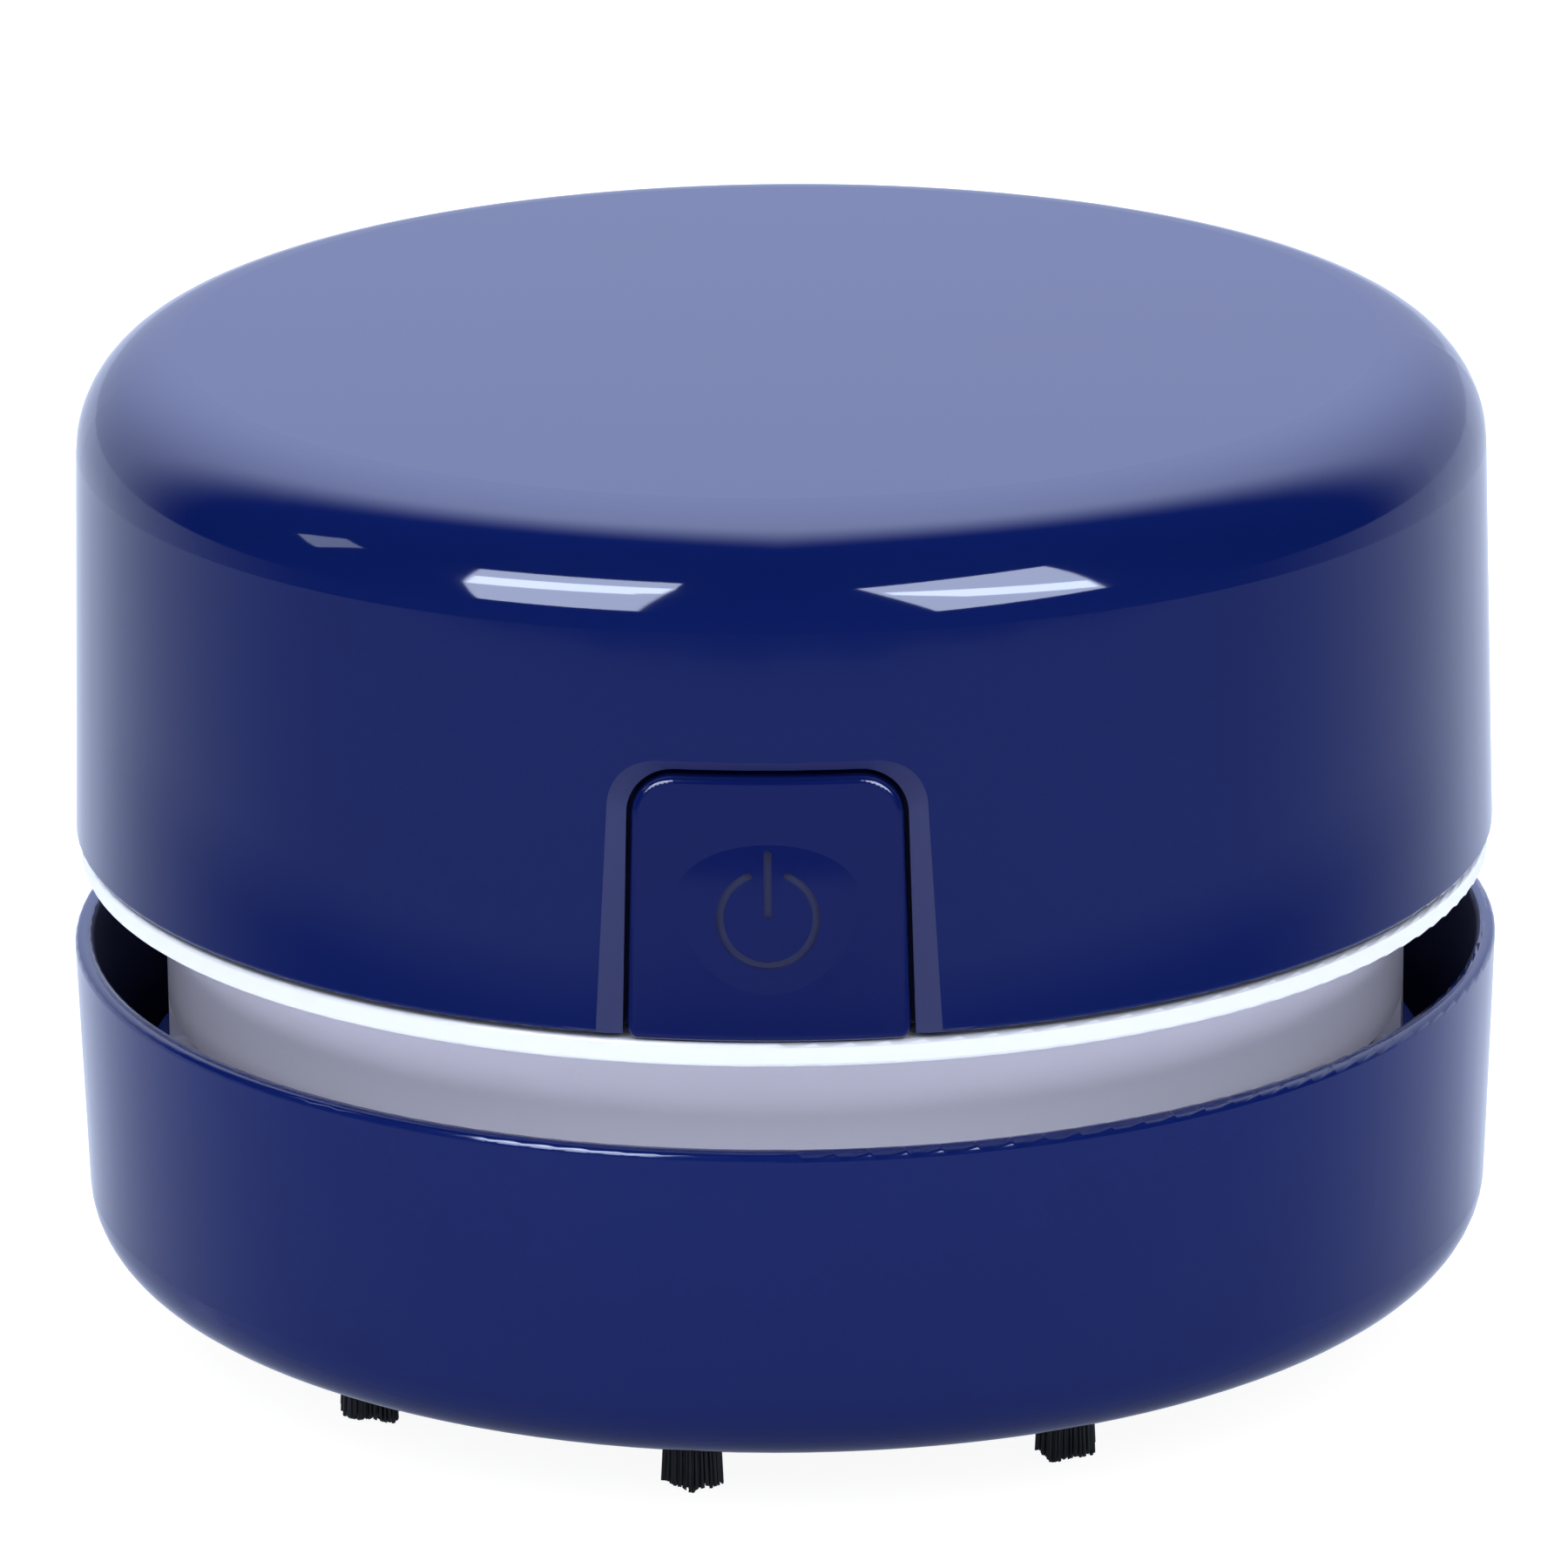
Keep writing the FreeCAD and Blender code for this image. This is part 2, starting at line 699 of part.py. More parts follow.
def motor_profile(margin, bottom, top):
    """Return the motor's outline, a cylinder with two flats, grown by a margin."""
    body = cylinder(motor_radius + margin, bottom, top)
    flat = motor_flat + margin
    reach = motor_radius + margin + overrun
    return body.common(box(-reach, reach, -flat, flat, bottom, top))


def motor_well():
    """Return the well in the deck that holds the motor's lower end."""
    outer = motor_profile(seat_gap + well_wall, motor_bottom - well_floor, motor_bottom + well_height)
    inner = motor_profile(seat_gap, motor_bottom, motor_bottom + well_height + overrun)
    mouth = cylinder(motor_boss_radius + seat_gap, motor_bottom - well_floor - overrun,
                     motor_bottom + overrun)
    return outer, inner.fuse(mouth)


def cell_cradles():
    """Return the two cradle ribs under the battery cell."""
    half = cell_radius + cradle_wall
    ribs = []
    for side in (-1, 1):
        x_low = side * cradle_place - cradle_thickness / 2
        ribs.append(box(x_low, x_low + cradle_thickness, cell_centre - half, cell_centre + half,
                        ring_top - overrun / 2, cell_height))
    start = Vector(-(cell_length + overrun) / 2, cell_centre, cell_height)
    room = Part.makeCylinder(cell_radius + cradle_gap, cell_length + overrun, start, Vector(1, 0, 0))
    return [rib.cut(room) for rib in ribs]


def switch_posts():
    """Return the two slotted posts that hold the switch board upright."""
    middle = -(switch_back + switch_board_back) / 2
    half_depth = board_thickness / 2 + switch_post_thickness / 2
    inner = switch_board_width / 2 - switch_post_width / 2
    post = box(inner, inner + switch_post_width, middle - half_depth, middle + half_depth,
               ring_top - overrun / 2, switch_post_top)
    half_slot = board_thickness / 2 + cradle_gap
    slot = box(0, switch_board_width / 2 + cradle_gap, middle - half_slot, middle + half_slot,
               ring_top, switch_post_top + overrun)
    post = post.cut(slot)
    return [post, mirrored(post)]


def button_guide():
    """Return the guide wall that the button's stem slides through."""
    wall = box(-guide_half_width, guide_half_width, -guide_front, -guide_back,
               ring_top - overrun / 2, guide_top)
    hole = Part.makeCylinder(stem_radius + slide_gap / 2, guide_thickness + overrun,
                             Vector(0, -guide_front - overrun / 2, press_height), Vector(0, 1, 0))
    return wall.cut(hole)


def make_chassis():
    """Return the white chassis: ring and deck, spigot, motor well, cradles, posts and standoffs."""
    deck = cylinder(ring_radius, deck_bottom, ring_top)
    deck = deck.makeFillet(edge_break, [edge for edge in deck.Edges if edge.BoundBox.ZLength < edge_break])
    spigot = tube(spigot_radius, spigot_radius - spigot_wall, ring_top - edge_break, ring_top + spigot_height)
    half = notch_half_width_bottom + button_flange + slide_gap
    spigot = spigot.cut(box(-half, half, -cover_radius, 0, ring_top, ring_top + spigot_height + overrun))
    well, well_room = motor_well()
    parts = [deck, spigot, well, button_guide()] + cell_cradles() + switch_posts()
    cuts = [well_room]
    for side in (-1, 1):
        parts.append(cylinder(strap_post_radius, ring_top - edge_break, motor_top, side * strap_post_place))
        cuts.append(screw_hole(strap_screw, side * strap_post_place, 0,
                               motor_top - strap_screw.length, motor_top + overrun))
        parts.append(cylinder(standoff_radius, ring_top - edge_break, board_top - board_thickness,
                              side * board_screw_place, board_screw_depth))
        cuts.append(screw_hole(board_screw, side * board_screw_place, board_screw_depth,
                               board_top - board_screw.length - seat_gap, board_top))
    for azimuth in post_azimuths:
        x, y = place(post_circle, azimuth)
        parts.append(cylinder(post_radius, plate_top, deck_bottom + edge_break, x, y))
        cuts.append(screw_hole(housing_screw, x, y, plate_top - overrun,
                               housing_flange_bottom + housing_screw.length + overrun))
    for azimuth in cover_boss_azimuths:
        x, y = place(cover_boss_circle, azimuth)
        cuts.append(screw_hole(cover_screw, x, y, deck_bottom - overrun, ring_top + overrun))
    chassis = fused(parts)
    for cut in cuts:
        chassis = chassis.cut(cut)
    return chassis


def make_fan_housing():
    """Return the white housing tube with its exhaust windows and the flange that carries the intake plate."""
    shell = tube(housing_radius, housing_inner_radius, housing_bottom, deck_bottom)
    flange = tube(housing_radius - housing_wall / 2, housing_flange_radius, housing_flange_bottom, flange_top)
    housing = fused([shell, flange])
    half = housing_radius * math.sin(math.radians(window_angle / 2))
    window = box(housing_flange_radius, housing_radius + overrun, -half, half, window_bottom, window_top)
    for index in range(window_count):
        housing = housing.cut(turned(window, (index + 0.5) * 360 / window_count))
    for azimuth in post_azimuths:
        x, y = place(post_circle, azimuth)
        housing = housing.cut(screw_hole(housing_screw, x, y, housing_flange_bottom - overrun,
                                         flange_top + overrun))
        sink = Part.makeCone(housing_screw.head_radius + shaft_gap, housing_screw.shank_radius + shaft_gap,
                             housing_screw.head_height, Vector(x, y, housing_flange_bottom))
        housing = housing.cut(sink)
    return housing


def make_intake_plate():
    """Return the plate under the impeller, with a finger guard across its eye."""
    plate = tube(housing_inner_radius - seat_gap, eye_radius, flange_top, plate_top)
    rings = [tube(guard_ring_radius + guard_bar_width / 2, guard_ring_radius - guard_bar_width / 2,
                  flange_top, plate_top), cylinder(guard_hub_radius, flange_top, plate_top)]
    bar = box(0, eye_radius + guard_bar_width, -guard_bar_width / 2, guard_bar_width / 2,
              flange_top, plate_top)
    bars = [turned(bar, (index + 0.5) * 360 / guard_bars) for index in range(guard_bars)]
    plate = fused([plate] + rings + bars)
    for azimuth in post_azimuths:
        x, y = place(post_circle, azimuth)
        plate = plate.cut(screw_hole(housing_screw, x, y, flange_top - overrun, plate_top + overrun))
    return plate


def make_motor_can():
    """Return the steel can with its front boss."""
    can = motor_profile(0, motor_bottom, motor_can_top)
    can = can.cut(motor_profile(-motor_can_wall, motor_bottom + motor_can_wall, motor_can_top + overrun))
    boss = cylinder(motor_boss_radius, motor_bottom - motor_boss_height, motor_bottom + motor_can_wall)
    return fused([can, boss]).cut(cylinder(bush_radius, motor_bottom - motor_boss_height - overrun,
                                           motor_can_top))


def make_motor_end_cap():
    """Return the plastic cap that closes the can and carries the brushes."""
    cap = motor_profile(0, motor_can_top, motor_top)
    boss = cylinder(motor_boss_radius, motor_top - edge_break, strap_top)
    cap = fused([cap, boss])
    room = cylinder(terminal_place - terminal_width / 2, motor_can_top - overrun, motor_top - motor_cap_roof)
    cap = cap.cut(room)
    cap = cap.cut(cylinder(bush_radius, motor_can_top, strap_top + overrun))
    for side in (-1, 1):
        cap = cap.cut(terminal_box(side, cradle_gap / 2, motor_can_top + motor_can_wall))
    return cap


def terminal_box(side, margin, bottom):
    """Return a terminal blade's box, grown by a margin, on the +Y or -Y side of the end cap."""
    centre = side * terminal_place
    half = terminal_thickness / 2 + margin
    reach = terminal_width / 2 + margin
    return box(-reach, reach, centre - half, centre + half, bottom, motor_top + terminal_height)


def make_motor_terminals():
    """Return the two terminal blades."""
    return Part.makeCompound([terminal_box(side, 0, motor_can_top + motor_can_wall) for side in (-1, 1)])


def make_motor_brushes():
    """Return the two brush leaves that press on the commutator."""
    leaves = []
    low = motor_can_top + edge_break
    near = commutator_radius + brush_gap
    for side in (-1, 1):
        leaf = box(near, near + brush_thickness, -terminal_place + terminal_width, brush_width / 2,
                   low, low + brush_width)
        leaves.append(leaf if side > 0 else turned(leaf, 180))
    return Part.makeCompound(leaves)


def make_motor_magnets():
    """Return the two curved magnets inside the can."""
    low = motor_bottom + motor_can_wall + (motor_can_length - magnet_length) / 2
    ring = tube(motor_radius - motor_can_wall, magnet_inner_radius, low, low + magnet_length)
    flat = motor_flat - motor_can_wall
    ring = ring.common(box(-motor_radius, motor_radius, -flat, flat, low, low + magnet_length))
    magnet = ring.common(wedge(motor_radius, magnet_angle, low, low + magnet_length))
    return Part.makeCompound([magnet, mirrored(magnet)])


def make_motor_bushes():
    """Return the two sintered bushes that the shaft runs in."""
    bore = shaft_radius + shaft_gap
    low = motor_bottom - motor_boss_height
    lower = tube(bush_radius, bore, low, low + bush_length)
    upper = tube(bush_radius, bore, strap_top - bush_length, strap_top)
    return Part.makeCompound([lower, upper])


def make_motor_strap():
    """Return the strap that clamps the motor into its well."""
    half = strap_width / 2
    strap = box(-strap_half_length, strap_half_length, -half, half, motor_top, strap_top)
    edges = [edge for edge in strap.Edges if edge.BoundBox.ZLength > strap_thickness / 2]
    strap = strap.makeFillet(strap_post_radius, edges)
    strap = strap.cut(cylinder(motor_boss_radius + seat_gap, motor_top - overrun, strap_top + overrun))
    for side in (-1, 1):
        strap = strap.cut(screw_hole(strap_screw, side * strap_post_place, 0, motor_top - overrun,
                                     strap_top + overrun))
    return strap


def make_motor_shaft():
    """Return the rotor's shaft."""
    return cylinder(shaft_radius, shaft_bottom, strap_top - shaft_top_margin)


def core_levels():
    """Return the lower and upper ends of the armature core."""
    low = motor_bottom + motor_can_wall + (motor_can_length - core_length) / 2
    return low, low + core_length


def make_armature_core():
    """Return the laminated core with its three poles."""
    low, high = core_levels()
    hub = cylinder(core_hub_radius, low, high)
    arm = box(0, core_radius - core_shoe_thickness / 2, -core_pole_width / 2, core_pole_width / 2, low, high)
    shoe = tube(core_radius, core_radius - core_shoe_thickness, low, high)
    pole = fused([arm, shoe.common(wedge(core_radius, core_shoe_angle, low, high))])
    core = fused([hub] + [turned(pole, index * 360 / core_poles) for index in range(core_poles)])
    return core.cut(cylinder(shaft_radius, low - overrun, high + overrun))


def make_armature_windings():
    """Return the three coils wound round the poles."""
    low, high = core_levels()
    inner = core_hub_radius + cradle_gap
    half = core_pole_width / 2 + cradle_gap
    side = core_pole_width / 2 + winding_thickness
    outer = math.sqrt((core_radius - core_shoe_thickness - cradle_gap) ** 2 - side ** 2)
    coil = box(inner, outer, -side, side, low - winding_overhang, high + winding_overhang)
    coil = coil.cut(box(0, core_radius, -half, half, low - cradle_gap, high + cradle_gap))
    angle = 360 / core_poles
    room = wedge(core_radius, angle, low - overrun, high + overrun)
    room.translate(Vector(cradle_gap, 0, 0))
    coil = coil.common(room)
    return Part.makeCompound([turned(coil, index * angle) for index in range(core_poles)])


def make_commutator():
    """Return the commutator on the shaft, level with the brushes."""
    low = motor_can_top
    return tube(commutator_radius, shaft_radius, low, low + commutator_length)


def make_impeller():
    """Return the impeller: back disc, hub and curved blades hanging below the disc."""
    disc_bottom = impeller_disc_top - impeller_disc_thickness
    disc = cylinder(impeller_radius, disc_bottom, impeller_disc_top)
    hub = cylinder(impeller_hub_radius, impeller_bottom, impeller_disc_top + impeller_hub_rise)
    blades = []
    for index in range(impeller_blades):
        blades.append(turned(impeller_blade(), index * 360 / impeller_blades))
    wheel = fused([disc, hub] + blades)
    return wheel.cut(cylinder(shaft_radius, shaft_bottom - overrun, impeller_disc_top + overrun))


def impeller_blade():
    """Return one blade, swept back along an arc from the eye to the rim."""
    half = impeller_blade_thickness / 2
    middle_radius = (impeller_eye_radius + impeller_radius) / 2
    sides = []
    for shift in (-half, half):
        inner = Vector(*place(impeller_eye_radius, 0), impeller_bottom)
        middle = Vector(*place(middle_radius, impeller_sweep * impeller_bow_share), impeller_bottom)
        outer = Vector(*place(impeller_radius - half, impeller_sweep), impeller_bottom)
        across = (outer - inner).normalize().cross(Vector(0, 0, 1)) * shift
        sides.append((inner + across, middle + across, outer + across))
    first, second = sides
    edges = [Part.Arc(*first).toShape(), Part.LineSegment(first[2], second[2]).toShape()]
    edges += [Part.Arc(*second).toShape(), Part.LineSegment(second[0], first[0]).toShape()]
    face = Part.Face(Part.Wire(Part.__sortEdges__(edges)))
    return face.extrude(Vector(0, 0, impeller_disc_top - impeller_disc_thickness / 2 - impeller_bottom))


def make_battery_cell():
    """Return the lithium cell in its sleeve."""
    cell = Part.makeCylinder(cell_radius, cell_length, Vector(-cell_length / 2, cell_centre, cell_height),
                             Vector(1, 0, 0))
    return cell.makeFillet(cell_edge, [edge for edge in cell.Edges if edge.BoundBox.XLength < cell_edge])


def make_battery_tabs():
    """Return the two welded tabs on the cell's ends."""
    tab = box(cell_length / 2, cell_length / 2 + tab_thickness, cell_centre - tab_width / 2,
              cell_centre + tab_width / 2, cell_height - tab_height / 2, cell_height + tab_height / 2)
    return Part.makeCompound([tab, mirrored(tab)])


def make_charge_board():
    """Return the charge board with its two screw holes."""
    board = box(-board_half_width, board_half_width, board_front, board_back,
                board_top - board_thickness, board_top)
    for side in (-1, 1):
        board = board.cut(screw_hole(board_screw, side * board_screw_place, board_screw_depth,
                                     ring_top, board_top + overrun))
    return board


def make_charge_chip():
    """Return the charge controller chip."""
    return box(-chip_width / 2, chip_width / 2, chip_centre - chip_depth / 2, chip_centre + chip_depth / 2,
               board_top, board_top + chip_height)


def make_board_parts():
    """Return the small resistors and capacitors on the charge board."""
    start = board_screw_depth + board_screw.head_radius + small_part_gap + lead_radius * 2
    pieces = []
    for row in range(small_part_rows):
        y = start + row * small_part_gap
        piece = box(-light_place - small_part_width / 2, -light_place + small_part_width / 2,
                    y + small_part_gap, y + small_part_gap + small_part_depth,
                    board_top, board_top + small_part_height)
        pieces.append(piece)
    return Part.makeCompound(pieces)


def make_usb_socket():
    """Return the metal shell of the charging socket."""
    middle = board_top + socket_height / 2
    shell = obround(socket_width, socket_height, middle, socket_back - socket_depth, socket_back)
    room = obround(socket_width - 2 * socket_wall, socket_height - 2 * socket_wall, middle,
                   socket_back - socket_cavity_depth, socket_back + overrun)
    return shell.cut(room)


def make_usb_tongue():
    """Return the contact tongue inside the socket."""
    middle = board_top + socket_height / 2
    root = socket_back - socket_cavity_depth
    return box(-tongue_width / 2, tongue_width / 2, root, root + tongue_depth,
               middle - tongue_thickness / 2, middle + tongue_thickness / 2)


def make_charge_light():
    """Return the charge light on the board's back edge."""
    return box(light_place - light_size / 2, light_place + light_size / 2,
               board_back - light_size, board_back, board_top, board_top + light_size)


def make_light_pipe():
    """Return the clear pipe that brings the charge light to the cover's surface."""
    start = board_back + seat_gap
    surface = cover_radius - cover_taper * (light_pipe_height - cover_bottom)
    end = math.sqrt(surface ** 2 - light_place ** 2)
    return Part.makeCylinder(light_pipe_radius, end - start, Vector(light_place, start, light_pipe_height),
                             Vector(0, 1, 0))


def make_switch_board():
    """Return the small upright board that carries the switch."""
    half = switch_board_width / 2
    return box(-half, half, -switch_back, -switch_board_back, ring_top, switch_board_top)


def make_switch_body():
    """Return the switch body with the pocket of its plunger."""
    half = switch_size / 2
    body = box(-half, half, -switch_front, -switch_back, press_height - half, press_height + half)
    pocket_half = plunger_size / 2 + slide_gap / 2
    depth = plunger_root + button_travel + slide_gap
    return body.cut(box(-pocket_half, pocket_half, -switch_front - overrun, -switch_front + depth,
                        press_height - pocket_half, press_height + pocket_half))


def make_switch_plunger():
    """Return the switch's plunger, which the button's stem pushes."""
    half = plunger_size / 2
    return box(-half, half, -plunger_front, -switch_front + plunger_root,
               press_height - half, press_height + half)


def lead_tube(points):
    """Return a round lead along straight runs and tangent arcs, and print its arc radii."""
    vectors = [Vector(*point) for point in points]
    radii = [0]
    for index in range(1, len(vectors) - 1):
        before = vectors[index] - vectors[index - 1]
        after = vectors[index + 1] - vectors[index]
        turn = before.getAngle(after)
        shorter = min(before.Length, after.Length)
        radii.append(lead_bend_share * shorter / math.tan(turn / 2))
    radii.append(0)
    path = rounded_wire(vectors, radii, False)
    start = Part.Circle(vectors[0], vectors[1] - vectors[0], lead_radius).toShape()
    solid = path.makePipeShell([Part.Wire([start])], True, False)
    expected = math.pi * lead_radius ** 2 * path.Length
    print("lead radii", [round(radius, 1) for radius in radii[1:-1]], "volume share", solid.Volume / expected)
    return solid


def lead_level(share):
    """Return a height on a lead's route: 0 is the deck, 1 the cell's top and 2 the cover's roof."""
    if share <= 1:
        return ring_top + (cell_top - ring_top) * share
    return cell_top + (cover_inner_top - cell_top) * (share - 1)


def lead_route(start, shares, side, end_row):
    """Return the start of a lead's route and its points up to the last ones."""
    points = [start]
    for across, along, level in shares:
        points.append((side * across, start[1] + (end_row - start[1]) * along, lead_level(level)))
    return points


def make_battery_leads():
    """Return the two leads from the cell's tabs to the charge board."""
    side = cell_length / 2 + tab_thickness + lead_radius + solder_gap
    start = (side, cell_centre, cell_height + tab_height * solder_height_share)
    end = (battery_pad_place, battery_pad_row, board_top + solder_gap)
    lead = lead_tube(lead_route(start, battery_lead_shares, side, battery_pad_row) + [end])
    return Part.makeCompound([lead, mirrored(lead)])


def make_motor_leads():
    """Return the leads that end on the motor's terminals, one from each board."""
    row = terminal_place + terminal_thickness / 2 + solder_gap
    start = (-lead_pad_place, lead_row, board_top + solder_gap)
    ends = [(0, row + back_lead_run, lead_end_height), (0, row, lead_end_height)]
    back = lead_tube(lead_route(start, back_lead_shares, -lead_pad_place, row) + ends)
    start = (-switch_pad_place, -switch_board_back + solder_gap, press_height - switch_pad_drop)
    ends = [(0, -row - front_lead_run, lead_end_height), (0, -row, lead_end_height)]
    front = lead_tube(lead_route(start, front_lead_shares, -switch_pad_place, -row) + ends)
    return Part.makeCompound([back, front])


def make_switch_lead():
    """Return the lead from the charge board to the switch board, round the motor."""
    start = (lead_pad_place, lead_row, board_top + solder_gap)
    end = (switch_pad_place, -switch_board_back + solder_gap, press_height - switch_pad_drop)
    return lead_tube(lead_route(start, switch_lead_shares, switch_lead_side, end[1]) + [end])


def make_cover_screws():
    """Return the four screws that hold the cover down on the deck."""
    return Part.makeCompound([screw(cover_screw, *place(cover_boss_circle, azimuth), deck_bottom, 1)
                              for azimuth in cover_boss_azimuths])


def make_housing_screws():
    """Return the four sunk screws that hold the fan housing and intake plate."""
    return Part.makeCompound([screw(housing_screw, *place(post_circle, azimuth), housing_flange_bottom, 1)
                              for azimuth in post_azimuths])


def make_strap_screws():
    """Return the two screws of the motor strap."""
    return Part.makeCompound([screw(strap_screw, side * strap_post_place, 0, strap_top, -1)
                              for side in (-1, 1)])


def make_board_screws():
    """Return the two screws of the charge board."""
    return Part.makeCompound([screw(board_screw, side * board_screw_place, board_screw_depth, board_top, -1)
                              for side in (-1, 1)])


def make_filter_seal():
    """Return the soft ring between the filter frame and its ledge."""
    return tube(filter_radius, ledge_inner_radius + seat_gap, filter_bottom, filter_frame_bottom)


def make_filter_frame():
    """Return the filter's ring with its spokes and pull knob."""
    inner = filter_radius - filter_ring_width
    ring = tube(filter_radius, inner, filter_frame_bottom, filter_frame_bottom + filter_height)
    spoke = box(0, inner + filter_ring_width / 2, -filter_spoke_width / 2, filter_spoke_width / 2,
                filter_frame_bottom, filter_frame_bottom + filter_spoke_thickness)
    knob = cylinder(filter_knob_radius, filter_frame_bottom, filter_knob_top)
    spokes = [turned(spoke, index * 360 / filter_spokes) for index in range(filter_spokes)]
    return fused([ring, knob] + spokes)


def make_filter_pad():
    """Return the felt pad on the spokes."""
    low = filter_frame_bottom + filter_spoke_thickness
    return tube(filter_radius - filter_ring_width - cradle_gap, filter_knob_radius + cradle_gap, low,
                low + filter_pad_thickness)


def tuft_azimuths():
    """Return the azimuth of each tuft, counted from +X."""
    return [270 + tuft_first_angle + index * 360 / tuft_count for index in range(tuft_count)]


def tuft_boss(azimuth, margin):
    """Return the boss over a tuft's socket, grown by a margin."""
    x, y = place(tuft_circle, azimuth)
    return cylinder(tuft_root_radius + tuft_boss_wall + margin, cup_floor_top - cup_floor / 2,
                    tuft_root_top + tuft_boss_wall + margin, x, y)


def make_dust_cup():
    """Return the bowl with its suction mouth and the tuft sockets in its floor."""
    bowl = Part.makeCone(cup_foot_radius, cup_rim_radius, cup_rim_top - cup_bottom, Vector(0, 0, cup_bottom))
    foot = [edge for edge in bowl.Edges if edge.BoundBox.ZMax < cup_bottom + edge_break]
    bowl = bowl.makeFillet(cup_fillet, foot)
    slope = (cup_rim_radius - cup_foot_radius) / (cup_rim_top - cup_bottom)
    room_top = cup_rim_top + overrun
    room = Part.makeCone(cup_foot_radius + slope * cup_floor - cup_wall,
                         cup_rim_radius + slope * overrun - cup_wall,
                         room_top - cup_floor_top, Vector(0, 0, cup_floor_top))
    foot = [edge for edge in room.Edges if edge.BoundBox.ZMax < cup_floor_top + edge_break]
    room = room.makeFillet(cup_fillet - cup_wall, foot)
    bowl = bowl.cut(room)
    rim = [edge for edge in bowl.Edges if edge.BoundBox.ZMin > cup_rim_top - edge_break]
    bowl = bowl.makeFillet(cup_wall * rim_round_share, rim)
    cup = fused([bowl] + [tuft_boss(azimuth, 0) for azimuth in tuft_azimuths()])
    cup = cup.cut(cylinder(mouth_radius, cup_bottom - overrun, cup_floor_top + overrun))
    for azimuth in tuft_azimuths():
        x, y = place(tuft_circle, azimuth)
        cup = cup.cut(cylinder(tuft_root_radius, cup_bottom - overrun, tuft_root_top, x, y))
    lip = [edge for edge in cup.Edges if edge.BoundBox.ZMax < cup_bottom + edge_break
           and abs(edge.BoundBox.XLength - 2 * mouth_radius) < edge_break]
    return cup.makeFillet(cup_floor * lip_round_share, lip)


def make_mouth_tube():
    """Return the tube that stands round the mouth and keeps the dust in the bowl."""
    wall = tube(mouth_radius + chimney_wall, mouth_radius, cup_floor_top, ledge_top)
    foot = tube(chimney_foot_radius, mouth_radius, cup_floor_top, cup_floor_top + chimney_foot_thickness)
    return fused([wall, foot])


def make_seat_ring():
    """Return the ring on the cup's floor that carries the filter and centres the fan housing."""
    pieces = [tube(collar_radius + collar_wall, collar_radius, cup_floor_top, collar_top)]
    pieces.append(tube(ledge_radius, ledge_inner_radius, cup_floor_top, ledge_top))
    rib = box(ledge_radius - edge_break, collar_radius + edge_break, -support_rib_width / 2,
              support_rib_width / 2, cup_floor_top, support_top)
    for index in range(support_ribs):
        pieces.append(turned(rib, index * 360 / support_ribs))
    ring = fused(pieces)
    foot = [edge for edge in ring.Edges if edge.BoundBox.ZMax < cup_floor_top + edge_break
            and edge.BoundBox.XMax > collar_radius + collar_wall / 2
            and edge.BoundBox.XMin < -collar_radius - collar_wall / 2]
    ring = ring.makeChamfer(collar_edge, foot)
    for azimuth in tuft_azimuths():
        ring = ring.cut(tuft_boss(azimuth, cradle_gap))
    return ring


def make_bristle_tufts():
    """Return the nine tufts, each a plain tapered bundle with its root in a socket."""
    tufts = []
    for azimuth in tuft_azimuths():
        x, y = place(tuft_circle, azimuth)
        brush = Part.makeCone(tuft_tip_radius, tuft_neck_radius, tuft_height, Vector(x, y, 0))
        root = cylinder(tuft_root_radius, tuft_height - edge_break, tuft_root_top, x, y)
        tufts.append(fused([brush, root]))
    return Part.makeCompound(tufts)


makers = {
    "top_cover": make_top_cover,
    "button": make_button,
    "chassis": make_chassis,
    "fan_housing": make_fan_housing,
    "intake_plate": make_intake_plate,
    "motor_can": make_motor_can,
    "motor_end_cap": make_motor_end_cap,
    "motor_terminals": make_motor_terminals,
    "motor_brushes": make_motor_brushes,
    "motor_magnets": make_motor_magnets,
    "motor_bushes": make_motor_bushes,
    "motor_strap": make_motor_strap,
    "motor_shaft": make_motor_shaft,
    "armature_core": make_armature_core,
    "armature_windings": make_armature_windings,
    "commutator": make_commutator,
    "impeller": make_impeller,
    "battery_cell": make_battery_cell,
    "battery_tabs": make_battery_tabs,
    "charge_board": make_charge_board,
    "charge_chip": make_charge_chip,
    "board_parts": make_board_parts,
    "usb_socket": make_usb_socket,
    "usb_tongue": make_usb_tongue,
    "charge_light": make_charge_light,
    "light_pipe": make_light_pipe,
    "switch_board": make_switch_board,
    "switch_body": make_switch_body,
    "switch_plunger": make_switch_plunger,
    "battery_leads": make_battery_leads,
    "motor_leads": make_motor_leads,
    "switch_lead": make_switch_lead,
    "cover_screws": make_cover_screws,
    "housing_screws": make_housing_screws,
    "strap_screws": make_strap_screws,
    "board_screws": make_board_screws,
    "filter_seal": make_filter_seal,
    "filter_frame": make_filter_frame,
    "filter_pad": make_filter_pad,
    "dust_cup": make_dust_cup,
    "mouth_tube": make_mouth_tube,
    "seat_ring": make_seat_ring,
    "bristle_tufts": make_bristle_tufts,
}

os.makedirs("parts", exist_ok=True)
for node, maker in makers.items():
    shape = maker()
    print(node, "solids", len(shape.Solids), "valid", shape.isValid(), "volume", round(shape.Volume, 1))
    shape.exportStep(f"parts/{node}.step")
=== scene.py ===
import json
import logging
import math
from dataclasses import dataclass
from enum import Enum
from typing import Any, Callable, Optional, Sequence

import bmesh
import bpy
from mathutils import Matrix, Vector, noise

